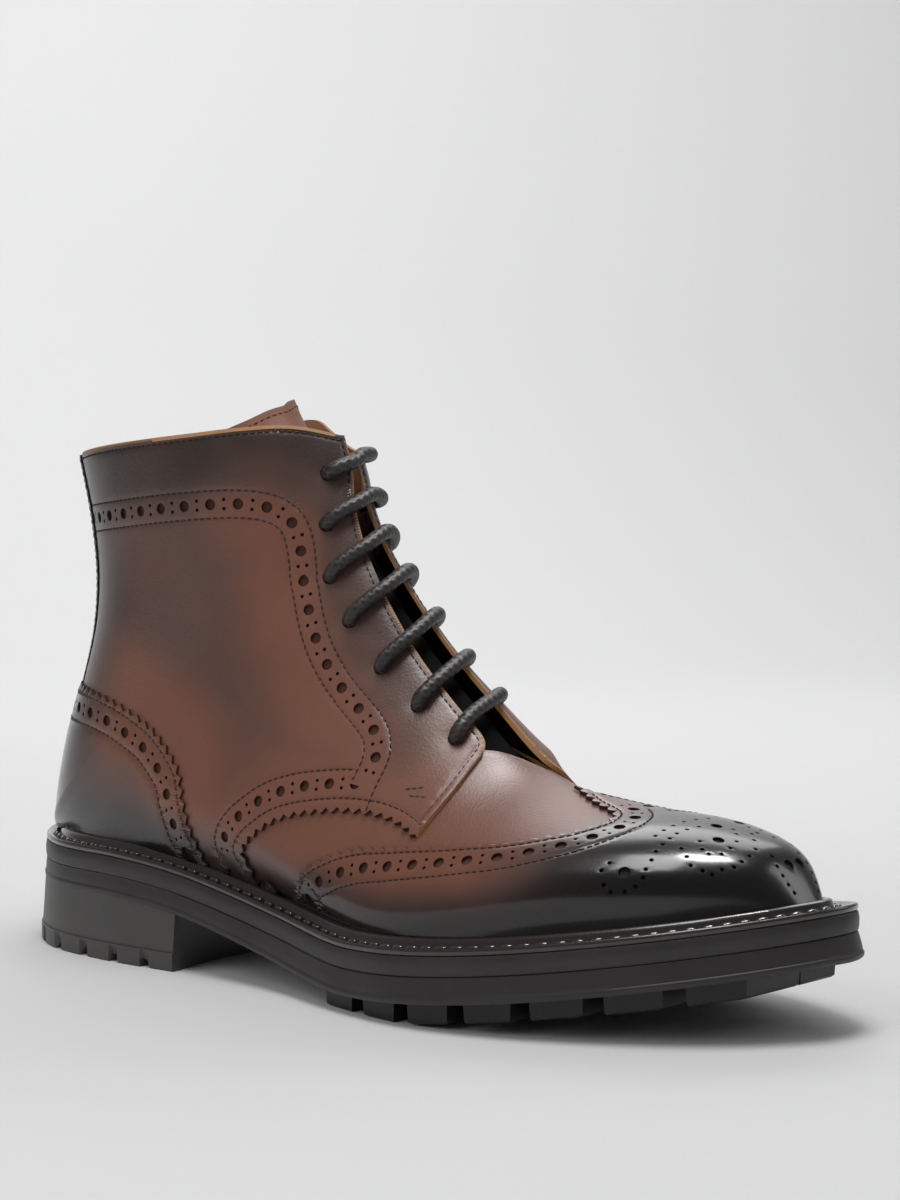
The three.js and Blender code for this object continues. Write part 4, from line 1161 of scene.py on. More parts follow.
# Raw cut edge of the leather: pale tan and dull, it draws the light lines round the facings
RAW_EDGE = Finish("raw_leather_edge", ("#bd8c5c", "#946744"), 0.7, mottle=0.3, mottle_mm=3.0)
# Dark cut edge: the cut side of a burnished panel, coloured dark; on the pinked teeth and the hole walls this
# dark colour is painted shade
DARK_EDGE = Finish("dark_cut_edge", ("#3a2620", "#191212"), 0.65)
# Floor of a punched hole: matt brown flesh, so that the holes read as soft brown pits
HOLE_FLOOR = Finish("punched_floor", ("#4b2c20", "#150f0f"), 0.8)
# Tongue leather: warm tan brown and softly polished at its top; down in the throat it turns dull, and its
# colour darkens to near black there as painted shade
TONGUE_LEATHER_PAINTED_SHADE = Finish(
    "tongue_leather_painted_shade", ("#9b6854", "#4a3028", "#050404"), 0.40, 0.0, 0.3, 0.5, 0.10, 0.25,
    stops=(0.0, 0.5, 1.0), dark_roughness=0.95, specular=0.15,
)
# Vegetable tanned lining: smooth tan-gold with a faint sheen; its near black third colour is painted shade on
# the flesh side down in the throat
LINING_PAINTED_SHADE = Finish(
    "tan_lining_painted_shade", ("#a3724f", "#7b553b", "#100c0a"), 0.55, 0.0, 0.4, 0.9, 0.06, 0.2, stops=(0.0, 0.35, 1.0),
)
# Welt leather: black brown, waxed on its rib so that a thin light line runs round the boot
WELT_LEATHER = Finish("waxed_welt_leather", ("#292120", "#151010"), 0.30, 0.8, 0.14, 0.9, 0.08, 0.3)
# Moulded rubber: dark grey brown and satin, so that the wall shows broad dull lights, with a fine grain and
# soft mottling; its lightest colour, on the heel, is a painted sheen, and its near black, on the lugs, is
# painted shade
RUBBER_PAINTED_LIGHT = Finish(
    "moulded_rubber_painted_light", ("#474544", "#2b2727", "#0b0a0a"), 0.46, 0.0, 0.2, 0.5, 0.04, 0.2, 20.0,
    stops=(0.0, 0.4, 1.0),
)
# Waxed braided cord: charcoal with light specks of the braid catching the light; its ridges are coloured
# lighter and its grooves darker, painted light and shade
CORD_PAINTED_LIGHT = Finish("waxed_braid_painted_light", ("#35312f", "#161413"), 0.5, 0.15, 0.35, mottle=0.9, mottle_mm=0.9)
# Upper thread: dark brown linen thread, just lighter than the burnished leather round it
THREAD = Finish("brown_thread", ("#33211b", "#211613"), 0.6)
# Welt thread: heavier waxed thread, a dotted paler line in the welt's groove
WELT_THREAD = Finish("welt_thread", ("#35302e", "#1a1615"), 0.22, 1.0, 0.12)


# Stitches


@dataclass
class StitchRow:
    """Stitches along a line: their places, run directions and outward directions."""

    points: Array
    along: Array
    out: Array


@dataclass(frozen=True)
class Stitching:
    """Size of one kind of stitch."""

    pitch: float
    length: float
    width: float


def stitch_row(points: Array, normals: Array, size: Stitching) -> StitchRow:
    """Places stitches at their pitch along a line.

    Args:
        points: points of the line.
        normals: outward directions at the points.
        size: the size of one stitch.

    Returns:
        The row of stitches.
    """
    run = run_of(points)
    count = max(2, int(round(run[-1] / size.pitch)))
    middle = (np.arange(count) + 0.5) * run[-1] / count
    ahead, behind = (read_off(middle + near, run, points) for near in (0.5, -0.5))
    outward = LastSurface.unit(read_off(middle, run, normals))
    return StitchRow(read_off(middle, run, points), LastSurface.unit(ahead - behind), outward)


def stitches(
    name: str, rows: list[StitchRow], size: Stitching, shift: FrameShift, thread: bpy.types.Material
) -> bpy.types.Object:
    """Makes all the stitches of one kind with Geometry Nodes.

    Args:
        name: name of the piece.
        rows: the stitch rows.
        size: the size of one stitch.
        shift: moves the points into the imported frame.
        thread: the thread's material.

    Returns:
        The stitches as one mesh object.
    """
    points = shift.place(np.vstack([row.points for row in rows]))
    mesh = bpy.data.meshes.new(name)
    mesh.from_pydata(points.tolist(), [], [])
    for label, parts in (("along", [r.along for r in rows]), ("out", [r.out for r in rows])):
        attribute = mesh.attributes.new(label, "FLOAT_VECTOR", "POINT")
        attribute.data.foreach_set("vector", np.vstack(parts).astype(np.float32).ravel())
    obj = bpy.data.objects.new(name, mesh)
    bpy.context.scene.collection.objects.link(obj)
    tree = bpy.data.node_groups.new(name, "GeometryNodeTree")
    tree.interface.new_socket("Geometry", in_out="INPUT", socket_type="NodeSocketGeometry")
    length = tree.interface.new_socket("Stitch length", in_out="INPUT", socket_type="NodeSocketFloat")
    width = tree.interface.new_socket("Thread width", in_out="INPUT", socket_type="NodeSocketFloat")
    tree.interface.new_socket("Geometry", in_out="OUTPUT", socket_type="NodeSocketGeometry")
    given = add_node(tree, "NodeGroupInput").outputs
    named = "GeometryNodeInputNamedAttribute"
    aligned = "FunctionNodeAlignRotationToVector"
    along = add_node(tree, named, {"Name": "along"}, data_type="FLOAT_VECTOR").outputs[0]
    out = add_node(tree, named, {"Name": "out"}, data_type="FLOAT_VECTOR").outputs[0]
    run = add_node(tree, aligned, {"Vector": along}, axis="X").outputs[0]
    turned = add_node(tree, aligned, {"Rotation": run, "Vector": out}, axis="Z", pivot_axis="X").outputs[0]
    bead = add_node(tree, "GeometryNodeMeshUVSphere", {"Segments": 8, "Rings": 5, "Radius": 0.5})
    sizes = {"X": given["Stitch length"], "Y": given["Thread width"], "Z": given["Thread width"]}
    scale = add_node(tree, "ShaderNodeCombineXYZ", sizes).outputs[0]
    laid = {"Points": given["Geometry"], "Instance": bead.outputs["Mesh"], "Rotation": turned, "Scale": scale}
    placed = add_node(tree, "GeometryNodeInstanceOnPoints", laid).outputs[0]
    real = add_node(tree, "GeometryNodeRealizeInstances", {"Geometry": placed}).outputs[0]
    rounded = add_node(tree, "GeometryNodeSetShadeSmooth", {"Geometry": real}).outputs[0]
    painted = add_node(tree, "GeometryNodeSetMaterial", {"Geometry": rounded, "Material": thread}).outputs[0]
    add_node(tree, "NodeGroupOutput", {"Geometry": painted})
    modifier = obj.modifiers.new("stitches", "NODES")
    modifier.node_group = tree
    modifier[length.identifier] = size.length * MM
    modifier[width.identifier] = size.width * MM
    bpy.context.view_layer.update()
    made = bpy.data.meshes.new_from_object(obj.evaluated_get(bpy.context.evaluated_depsgraph_get()))
    obj.modifiers.remove(modifier)
    obj.data = made
    made.name = name
    LOG.info("%s: %d stitches", name, len(points))
    return obj


SEAM = Stitching(2.3, 1.75, 0.52)
WELT_SEAM = Stitching(5.2, 4.5, 1.9)


# The uppers


@dataclass
class Upper:
    """Lays out every leather panel of the upper."""

    surface: LastSurface
    step: float = 0.9
    strip_half: float = 18.6
    strip_tuck: float = 0.25
    pink_pitch: float = 4.15
    pink_depth: float = 1.75
    band_half: float = 4.3
    hole_pitch: float = 9.3
    hole_radius: float = 1.75
    lace_hole: float = 2.4
    pin_radius: float = 0.58
    medallion_pin: float = 0.66
    pin_half_gap: float = 1.4
    facing_row: float = 1.9
    topline_row: float = 2.0
    raw_bevel: float = 1.15
    body_thickness: float = 2.1
    inner_thickness: float = 1.3
    overlay_thickness: float = 1.1
    counter_lift: float = 1.2
    strip_lift: float = 0.95
    strip_thickness: float = 0.85
    vamp_lift: float = -1.5
    vamp_thickness: float = 1.6
    bar_tack_lift: float = 0.05
    stitch_sink: float = 0.1
    hole_to_edge: float = 0.9
    hole_to_hole: float = 0.7
    seam_paths: list = field(default_factory=list)

    @property
    def sole(self) -> SoleShape:
        """The sole under the upper."""
        return self.surface.sole

    @property
    def band_rows(self) -> tuple[float, float, float]:
        """How far the near stitch row, the holes and the far stitch row lie from a pinked edge."""
        near = self.pink_depth
        return near + 1.0, near + 1.2 + self.band_half, near + 1.4 + 2 * self.band_half

    def zigzag(self, path: Array, turn: float) -> Array:
        """Cuts the teeth of a pinked edge into a path.

        Args:
            path: the line of their tips.
            turn: 1 to cut to the left of its run, -1 to the right.

        Returns:
            The toothed path.
        """
        run = run_of(self.surface.on(path))
        count = max(4, 2 * int(round(run[-1] / self.pink_pitch)))
        even = read_off(np.linspace(0.0, run[-1], count + 1), run, path)
        sunk = self.surface.offset(even, turn * self.pink_depth)
        fine = []
        for k in range(count):
            a, b = (sunk[k], even[k + 1]) if k % 2 else (even[k], sunk[k + 1])
            fine += [mix(a, b, share) for share in (0.0, 0.25, 0.5, 0.75)]
        return np.array([*fine, even[-1]])

    def brogue(self, line: Array) -> list[PunchedHole]:
        """Big holes along a line with a pair of pin holes between each two."""
        even = self.surface.even(line, self.hole_pitch / 2.0)
        pairs = [self.surface.offset(even, gap) for gap in (self.pin_half_gap, -self.pin_half_gap)]
        holes = []
        for k in range(1, len(even) - 1):
            if k % 2:
                holes.append(PunchedHole(*even[k], self.hole_radius))
            else:
                holes += [PunchedHole(*pair[k], self.pin_radius) for pair in pairs]
        return holes

    def located(self, table: tuple, side: Side, distance: float = 0.0) -> Array:
        """Finds a side view table on one side of the boot.

        Args:
            table: the side view table.
            side: the side of the boot.
            distance: how far below and behind the table's line.

        Returns:
            Row and signed girth in fine steps.
        """
        line = side_view(table, self.sole, 10)
        step = LastSurface.unit(np.gradient(line, axis=0))
        return self.surface.locate(line + distance * np.c_[step[:, 1], -step[:, 0]], side)

    def throat_edge(self, side: Side) -> Array:
        """Edge of the facing from the topline down to the throat."""
        top = self.surface.top_line(side)
        outer = side is Side.OUTER
        gaps = np.array(THROAT_GAP if outer else INNER_THROAT_GAP)
        rows = np.linspace(16.6, 7.50 if outer else 6.75, 160)
        half = np.interp(rows, gaps[:, 0], gaps[:, 1]) * self.sole.ball_width
        line = np.c_[rows, self.surface.girth_at_width(rows, half, side)]
        limit = np.interp(np.abs(line[:, 1]), np.abs(top[::-1, 1]), top[::-1, 0])
        return line[line[:, 0] < limit]

    def quarter(self, side: Side) -> Panel:
        """One quarter with its facing: pinked foot, collar and facing band, edge rows."""
        s = self.surface
        sign = float(side.value)
        outer = side is Side.OUTER
        throat = self.throat_edge(side)
        top = s.top_line(side)
        top = s.even(top[np.abs(top[:, 1]) > abs(throat[0, 1]) + 0.004], self.step)
        throat = s.even(throat, self.step)
        # The facing's lower corner is rounded from its last points into the front edge
        front = self.located(QUARTER_FRONT if outer else INNER_QUARTER_FRONT, side)
        front = front[np.abs(front[:, 1]) > abs(throat[-1, 1]) + 0.01]
        bend = np.vstack([throat[-6:], front])
        bend = s.even(catmull(bend[:: max(1, len(bend) // 7)], False, 12), self.step)
        foot = self.located(QUARTER_FOOT, side)
        foot = foot[np.abs(foot[:, 1]) < 0.995]
        foot = np.vstack([foot, [(foot[-1, 0], sign)]])
        toothed = self.zigzag(foot, -sign)
        feather = straight(foot[-1, 0], HEEL_ROW, 60, sign)[1:]
        back = straight(HEEL_ROW, top[0, 0], 60, sign)[1:-1]
        edge = self.smoothed(s.even(np.vstack([throat[:-6], bend[:-1]]), self.step), 22)
        outline = np.vstack([top, edge, toothed, feather, back])
        seams, holes = self.quarter_rows(side, outline, top, edge, foot)
        holes += [PunchedHole(*place, self.lace_hole, True) for place in lace_places(side)]
        first = len(top) + len(edge)
        quarter = self.sewn(
            Panel(
                s, outline, 0.0, self.body_thickness if outer else self.inner_thickness, holes, seams,
                pinked=(first + 1, first + len(toothed)), pinked_slot=Layer.TEETH, relief=self.facing_relief,
                bevelled=first, bevel=self.raw_bevel * self.signed(outline[:first], outline), two_faced=True,
            )
        )
        for ends in BAR_TACK if outer else ():
            self.seam_paths.append((s.even(np.array(ends), self.step), self.bar_tack_lift))
        return quarter

    def quarter_rows(
        self, side: Side, outline: Array, top: Array, edge: Array, foot: Array
    ) -> tuple[list[Array], list[PunchedHole]]:
        """Lays out a quarter's stitch rows and the holes of its bands.

        Args:
            side: the side of the boot.
            outline: the quarter's whole outline.
            top: its part along the topline.
            edge: its part down the facing.
            foot: the line of its pinked foot.

        Returns:
            The stitch rows and the holes.
        """
        s = self.surface
        near_row = s.offset(edge, self.signed(edge, outline) * self.facing_row)
        band = s.even(self.smoothed(self.located(COLLAR_BAND, side)), 1.5)
        long_band = s.even(self.smoothed(self.located(COLLAR_BAND + BAND_TAIL, side)), 1.5)
        away = self.signed_from(band, edge)
        row_near = s.offset(long_band, away * self.band_half)
        row_far = s.offset(band, -away * self.band_half)
        lead = self.signed(foot, outline)
        lower_near, lower_band, lower_far = (s.offset(foot, lead * row) for row in self.band_rows)
        joint = BAND_JOINT * self.sole.length
        lower_far = lower_far[s.on(lower_far)[:, 0] < joint - self.band_half]
        lower_band = lower_band[s.on(lower_band)[:, 0] < joint + 2.0]
        topline_row = s.offset(top, self.signed(top, outline) * self.topline_row)
        seams = (near_row, row_near, row_far, lower_near, lower_far, topline_row)
        return [self.trimmed(seam, outline) for seam in seams], self.brogue(band) + self.brogue(lower_band)

    def sewn(self, panel: Panel, reach: float = HOLE_LIMIT) -> Panel:
        """Keeps a panel's clear holes and notes its seams for the thread."""
        panel.holes = self.clear_holes(panel.holes, panel.outline, reach)
        self.seam_paths += [(seam, panel.lift - self.stitch_sink) for seam in panel.seams]
        return panel

    def facing_relief(self, path: Array, points: Array) -> Array:
        """The quarters' own relief, beyond the smooth surface.

        Args:
            path: row and signed girth of the points.
            points: the points.

        Returns:
            How far each point moves outwards.
        """
        # Pulled in round every lace hole
        out = np.zeros(len(points))
        for side in Side:
            for middle in self.surface.on(np.array(lace_places(side))):
                out -= 0.45 * bell(np.linalg.norm(points - middle, axis=1) / 4.6)
        # Fine slanting folds beside the holes
        x, z = points[:, 0], points[:, 2]
        fold = np.sin(0.62 * (z + 0.35 * x) + 0.8 * np.sin(0.11 * x)) * bell((x - 152.0) / 20.0)
        # The front edge stands a little off the vamp
        front = self.surface.on(self.located(QUARTER_FRONT, Side.OUTER))
        gap = np.linalg.norm(points[:, None] - front[None, ::4], axis=-1).min(1)
        out += 0.3 * bell(gap / 7.0)
        # The inner facing is full where it meets the vamp
        row, girth = path.T
        swell = bell((girth - 0.15) / 0.08) * smooth((9.9 - row) / 1.8) * ease(row, 6.45, 0.7)
        return out + 0.06 * fold * ease(z, 60.0, 20.0) + 3.6 * swell

    def smoothed(self, path: Array, rounds: int = 30) -> Array:
        """A path with its small kinks eased."""
        out = path.copy()
        for _ in range(rounds):
            out[1:-1] = 0.5 * out[1:-1] + 0.25 * (out[:-2] + out[2:])
        return out

    def signed(self, path: Array, outline: Array) -> float:
        """1 or -1: the sideways direction from path that leads into the outline."""
        middle = slice(len(path) // 4, -len(path) // 4 or None)
        left = self.surface.offset(path, 1.5)[middle]
        return 1.0 if self.surface.within(left, outline).mean() > 0.5 else -1.0

    def signed_from(self, path: Array, other: Array) -> float:
        """1 or -1: the sideways direction from path that leads towards another line."""
        s = self.surface
        target = s.on(other)
        ends = [s.on(s.offset(path, d)) for d in (2.0, -2.0)]
        gaps = [np.linalg.norm(e[len(e) // 2 :, None] - target[None], axis=-1).min(1).mean() for e in ends]
        return 1.0 if gaps[0] < gaps[1] else -1.0

    def trimmed(self, path: Array, outline: Array, limit: float = SEAM_LIMIT) -> Array:
        """The longest run of a path that lies inside an outline.

        Args:
            path: places of row and girth.
            outline: the outline.
            limit: girth share up to which the run may go.

        Returns:
            The run.
        """
        ok = self.surface.within(path, outline) & (np.abs(path[:, 1]) < limit)
        best, start = (0, 0), None
        for k, flag in enumerate([*ok, False]):
            if flag and start is None:
                start = k
            if not flag and start is not None:
                if k - start > best[1] - best[0]:
                    best = (start, k)
                start = None
        return path[best[0] : best[1]]

    def clear_holes(self, holes: list, outline: Array, reach: float) -> list:
        """The holes that lie well inside the outline and clear of each other.

        Args:
            holes: all holes.
            outline: the panel's outline.
            reach: girth share up to which holes run.

        Returns:
            The holes kept, big ones first.
        """
        s = self.surface
        edge = s.on(outline)
        kept, places = [], []
        for hole in sorted(holes, key=lambda h: -h.radius):
            place = s.on(hole.place)[0]
            if abs(hole.girth) > reach or not s.within(hole.place, outline)[0]:
                continue
            if np.linalg.norm(edge - place, axis=1).min() < hole.radius + self.hole_to_edge:
                continue
            clear = [hole.radius + other.radius + self.hole_to_hole for other in kept]
            if any(np.linalg.norm(place - p) < gap for p, gap in zip(places, clear)):
                continue
            kept.append(hole)
            places.append(place)
        return kept

    def wing(self) -> Panel:
        """The wing cap over the toe with its medallion."""
        s = self.surface
        outer = catmull(np.array(WING_EDGE)[:, ::-1], False, 14)
        outer = np.c_[outer[:, 0], outer[:, 1] - 1.0]
        inner = outer[::-1] * (1.0, -1.0)
        lead = self.signed(outer, np.vstack([outer, inner[1:], [(0.0, 1.0)], [(0.0, -1.0)]]))
        toe_row = 0.1
        right = straight(inner[-1, 0], toe_row, 90, 1.0)[1:]
        toe = np.c_[np.full(60, toe_row), np.linspace(1.0, -1.0, 60)][1:-1]
        left = straight(toe_row, outer[0, 0], 90, -1.0)[:-1]
        outline = np.vstack([self.zigzag(outer, lead), self.zigzag(inner, lead)[1:], right, toe, left])
        seams, holes = [], []
        for part in (outer, inner):
            sign = np.sign(part[len(part) // 2, 1])
            rows = [s.offset(part, lead * row) for row in self.band_rows]
            near, band, far = (self.trimmed(row[row[:, 1] * sign > 0.012], outline) for row in rows)
            seams += [near, far]
            holes += self.brogue(band)
        holes += self.medallion()
        return self.sewn(Panel(s, outline, 0.0, self.inner_thickness, holes, seams, two_faced=True))

    def medallion(self) -> list[PunchedHole]:
        """The punched scroll on the toe, the same on both sides of its middle line."""
        holes = []
        for table, radius in ((MEDALLION_PINS, self.medallion_pin), (MEDALLION_HOLES, self.hole_radius)):
            for row, girth in table:
                holes += [PunchedHole(row, g, radius) for g in (girth, 2.0 * MEDALLION_MIDDLE - girth)]
        return holes

    def counter(self, side: Side) -> Panel:
        """One half of the outside counter, pinked along its top and front."""
        sign = float(side.value)
        line = self.located(COUNTER_EDGE, side)
        line = line[np.abs(line[:, 1]) < 0.996]
        line = np.vstack([[(line[0, 0], sign)], line, [(line[-1, 0], sign)]])
        foot, top = line[-1, 0], line[0, 0]
        lead = self.signed(line, np.vstack([line, straight(foot, top, 60, sign)]))
        outline = np.vstack([self.zigzag(line, lead), straight(foot, top, 90, sign)[1:-1]])
        rows = [self.located(COUNTER_EDGE, side, row) for row in self.band_rows]
        near, band, far = (self.trimmed(row, outline, COUNTER_SEAM_LIMIT) for row in rows)
        lift, thickness = self.counter_lift, self.overlay_thickness
        counter = Panel(self.surface, outline, lift, thickness, self.brogue(band), [near, far])
        return self.sewn(counter, COUNTER_HOLE_LIMIT)

    def strip(self, side: Side) -> Panel:
        """One half of the back strip, pinked along its long edge, its foot under the counter."""
        s = self.surface
        sign = float(side.value)
        top_row = float(s.top_line(side, 8)[0, 0]) - 0.02
        counter = self.located(COUNTER_EDGE, side)
        foot_row = float(counter[np.argmax(np.abs(counter[:, 1])), 0]) - self.strip_tuck
        girth = sign * np.linspace(1.0, 0.6, 80)
        line = []
        for row in np.linspace(foot_row, top_row, 120):
            reach = np.abs(s.at(np.full(80, row), girth)[:, 1])
            line.append((row, float(np.interp(self.strip_half, reach, girth * sign)) * sign))
        line = np.array(line)
        back = straight(top_row, foot_row, 150, sign)
        lead = self.signed(line, np.vstack([line, back]))
        outline = np.vstack([self.zigzag(line, lead), back])
        seam = self.trimmed(s.offset(line, lead * self.band_rows[0]), outline, 1.0)
        lift, thickness = self.strip_lift, self.strip_thickness
        return self.sewn(Panel(s, outline, lift, thickness, [], [seam], open_edge=self.at_seam))

    @staticmethod
    def at_seam(path: Array) -> Array:
        """Whether each place lies on the back seam."""
        return np.abs(path[:, 1]) > 0.999

    def vamp(self) -> Panel:
        """The vamp between the wing cap and the quarters."""
        girth = np.linspace(-1.0, 1.0, 200)
        wing = np.array(WING_EDGE)
        front = np.c_[np.interp(1.0 - np.abs(girth), wing[:, 0], wing[:, 1]) - 0.75, girth]
        rear = catmull(np.array(VAMP_REAR), False, 12)
        inner = straight(front[-1, 0], VAMP_REAR[0][0], 50, 1.0)[1:-1]
        outer = straight(VAMP_REAR[-1][0], front[0, 0], 50, -1.0)[1:-1]
        outline = np.vstack([front, inner, rear, outer])
        lift, thickness = self.vamp_lift, self.vamp_thickness
        return Panel(self.surface, outline, lift, thickness, relief=self.creases, two_faced=True)

    @staticmethod
    def creases(path: Array, points: Array) -> Array:
        """Soft walking creases across the vamp."""
        x, y = points[:, 0], points[:, 1]
        out = np.zeros(len(points))
        for start, bend, depth, width in VAMP_CREASES:
            out -= depth * bell((x - (start + bend * (y / 40.0) ** 2)) / width)
        return out


# Sole and welt


@dataclass
class SoleParts:
    """Builds the welt, the sole's walls, the heel and the lugs."""

    sole: SoleShape
    half: int = 360
    welt_half: int = 420
    lug_depth: float = 4.8
    lug_pitch: float = 19.0
    lug_ends: tuple[float, float] = (163.175, 289.8)
    edge_lugs: tuple[float, float] = (2.6, 18.0)
    middle_lugs: float = 23.0
    least_lug: float = 3.0
    channel: float = 5.0
    top_piece: float = 5.5
    notch_height: float = 2.4
    notch_depth: float = 1.6
    notch_half: float = 1.7
    notch_pitch: float = 15.0
    heel_steps: int = 200

    def swept(
        self, draft: MeshDraft, profile: list, shade: float = 0.0, half: int | None = None, cap: bool = False
    ) -> None:
        """Adds a wall round the whole outline.

        Args:
            draft: the mesh to add to.
            profile: pairs of inset and height functions, or numbers for the inset, top to bottom.
            shade: how dark the surface is.
            half: samples along each side.
            cap: whether the last ring is closed with a face.
        """
        half = half or self.half
        rings = []
        for inset, height in profile:
            rings.append(self.sole.ring(inset if callable(inset) else level(inset), height, half))
        draft.add(np.vstack(rings), grid_faces(len(rings), 2 * half, True), 0, shade)
        if cap:
            self.face(draft, rings[-1], -1.0, 1.0)

    @staticmethod
    def face(draft: MeshDraft, loop: Array, up: float, shade: float = 0.0) -> None:
        """Fills a loop with triangles.

        Args:
            draft: the mesh to add to.
            loop: the loop's points.
            up: 1 for a face that looks up, -1 for one that looks down.
            shade: how dark the surface is.
        """
        faces = []
        for tri in tessellate_polygon([[Vector(p) for p in loop.tolist()]]):
            a, b, c = (loop[k] for k in tri)
            faces.append(tuple(tri) if np.cross(b - a, c - a)[2] * up > 0 else tuple(tri)[::-1])
        draft.add(loop, faces, 0, shade)

    def prism(self, draft: MeshDraft, loops: list[Array], shade: float = 0.0, top: bool = False) -> None:
        """Adds walls between loops of equal count, with the bottom closed.

        Args:
            draft: the mesh to add to.
            loops: the loops, top one first.
            shade: how dark the surface is.
            top: whether the top is closed too.
        """
        x, y = loops[0][:, 0], loops[0][:, 1]
        area = np.sum(x * np.roll(y, -1) - np.roll(x, -1) * y)
        faces = grid_faces(len(loops), len(loops[0]), True)
        draft.add(np.vstack(loops), [f[::-1] for f in faces] if area > 0 else faces, 0, shade)
        self.face(draft, loops[-1], -1.0, shade)
        if top:
            self.face(draft, loops[0], 1.0, shade)

    def heel_plan(self, inset: float) -> Array:
        """Plan of the heel block: the outline behind the breast curve, at one inset."""
        share = np.linspace(0.0, 1.0, 700)
        parts = []
        for side in (Side.OUTER, Side.INNER):
            line = self.sole.edge(side, share, level(inset))
            parts.append(line[line[:, 0] < self.breast(line[:, 1])])
        outer, inner = parts[0], parts[1][::-1]
        wall = np.vstack([outer, inner[1:]])
        wall = resample(wall, run_of(wall)[-1] / self.heel_steps)
        width = np.linspace(inner[-1, 1], outer[0, 1], 26)[1:-1]
        return np.vstack([wall, np.c_[self.breast(width), width]])

    @staticmethod
    def breast(y: Array) -> Array:
        """The heel's front face, x across the width y."""
        return 92.0 - 6.0 * (1.0 - np.clip(np.asarray(y) / 35.64, -1.0, 1.0) ** 2)

    def walls(self, midsole: MeshDraft, outsole: MeshDraft) -> None:
        """Adds the midsole's and outsole's side walls with their moulded lines."""
        s = self.sole
        top, foot = s.top, s.wall_foot
        midsole_rows = (
            (9.0, 0.0), (1.0, 0.0), (0.3, -0.12), (0.0, -0.6), (-0.28, -2.2), (-0.3, -3.2), (-0.22, -4.6),
            (-0.05, -5.45), (0.12, -5.75), (1.2, -5.9), (3.0, -5.95),
        )
        self.swept(midsole, [(inset, lambda x, d=drop: top(x) + d) for inset, drop in midsole_rows], 0.35)

        def flare(x: Array) -> Array:
            """Inset of the wall's foot, which stands out more towards the toe."""
            return -s.edge_flare * np.clip(np.asarray(x) / s.length + 0.2, 0.0, 1.0)

        def part(share: float) -> tuple:
            """A ring part of the way down the plain wall."""
            return (
                lambda x: mix(0.0, flare(x), share),
                lambda x: mix(top(x) - 6.0, foot(x) + 2.2, share),
            )

        def bead(inset: float, rise: float) -> tuple:
            """A ring of the rounded bead along the wall's foot."""
            return lambda x: flare(x) + inset, lambda x: foot(x) + rise

        rows = [(3.0, lambda x: top(x) - 5.85), (0.35, lambda x: top(x) - 5.9)]
        rows += [part(share) for share in (0.04, 0.25, 0.5, 0.75)]
        beads = ((0.15, 2.2), (-0.15, 1.9), (-0.3, 1.4), (-0.2, 0.6), (0.15, 0.1), (0.6, 0.0))
        rows += [bead(inset, rise) for inset, rise in beads]
        self.swept(outsole, rows, 0.35, cap=True)

    def heel(self, outsole: MeshDraft, top_piece: MeshDraft) -> None:
        """Adds the heel block and its notched top piece."""
        loops = []
        for inset, share in ((0.0, 1.0), (-0.25, 0.8), (-0.6, 0.6), (-1.0, 0.3), (-1.45, 0.04), (-1.2, 0.0)):
            plan = self.heel_plan(inset)
            high = self.sole.top(plan[:, 0]) - 6.0
            loops.append(np.c_[plan, mix(self.top_piece + 0.25, high, share)])
        # The heel block keeps the rubber's lightest colour: a painted sheen
        self.prism(outsole, loops)
        piece = self.top_piece
        base = []
        for inset, z in ((-1.5, piece + 0.3), (-1.9, piece), (-1.9, 2.6), (-1.9, 0.5), (-1.5, 0.0)):
            plan = self.heel_plan(inset)
            base.append(np.c_[plan, np.full(len(plan), z)])
        self.notched(base)
        # The top piece keeps the lightest colour too: a painted sheen
        self.prism(top_piece, base, top=True)

    def notched(self, loops: list[Array]) -> None:
        """Cuts the grip notches into the lowest loops of the top piece."""
        wall = self.heel_steps + 1
        run = run_of(loops[1][:wall, :2])
        heel = run[-1] / 2.0
        for k in range(5):
            for sign in (-1.0, 1.0):
                centre = heel + sign * (heel - (k + 0.8) * self.notch_pitch)
                near = np.abs(run - centre) < self.notch_half
                for loop in loops[2:]:
                    loop[:wall][near, 2] = self.notch_height
                    inward = LastSurface.unit(np.array([45.0, 0.0]) - loop[:wall][near, :2])
                    loop[:wall][near, :2] += self.notch_depth * inward

    def lug_height(self, x: Array) -> Array:
        """Height of the lugs' undersides."""
        under_ball = fade(np.asarray(x) / self.sole.length, 0.62, 0.2)
        return np.maximum(0.0, self.sole.wall_foot(x) - self.lug_depth - 0.8 * (1.0 + under_ball))

    def lugs(self, outsole: MeshDraft) -> None:
        """Adds the lugs of the forepart: an edge row on each side and a field of bars between."""
        x, end = self.lug_ends
        while x < end:
            xs = np.linspace(x, min(x + self.lug_pitch - self.channel, end), 10)
            outer, inner = (
                [self.sole.width_at(side, xs, inset) for inset in (*self.edge_lugs, self.middle_lugs)]
                for side in Side
            )
            for low, high in ((outer[0], outer[1]), (outer[2], inner[2]), (inner[1], inner[0])):
                if (high - low).min() >= self.least_lug:
                    self.lug(outsole, xs, low, high)
            x += self.lug_pitch

    def lug(self, draft: MeshDraft, xs: Array, low: Array, high: Array) -> None:
        """Adds one lug with slightly drawn in sides.

        Args:
            draft: the mesh to add to.
            xs: places along the boot.
            low: its outer edge y at those places.
            high: its inner edge y there.
        """
        def loop(draw: float, height: Callable[[Array], Array]) -> Array:
            """The lug's outline drawn in a little, at a height."""
            squeezed = np.clip(xs, xs[0] + draw, xs[-1] - draw)
            plan = np.vstack([np.c_[squeezed, low + draw], np.c_[squeezed[::-1], high[::-1] - draw]])
            return np.c_[plan, height(plan[:, 0])]

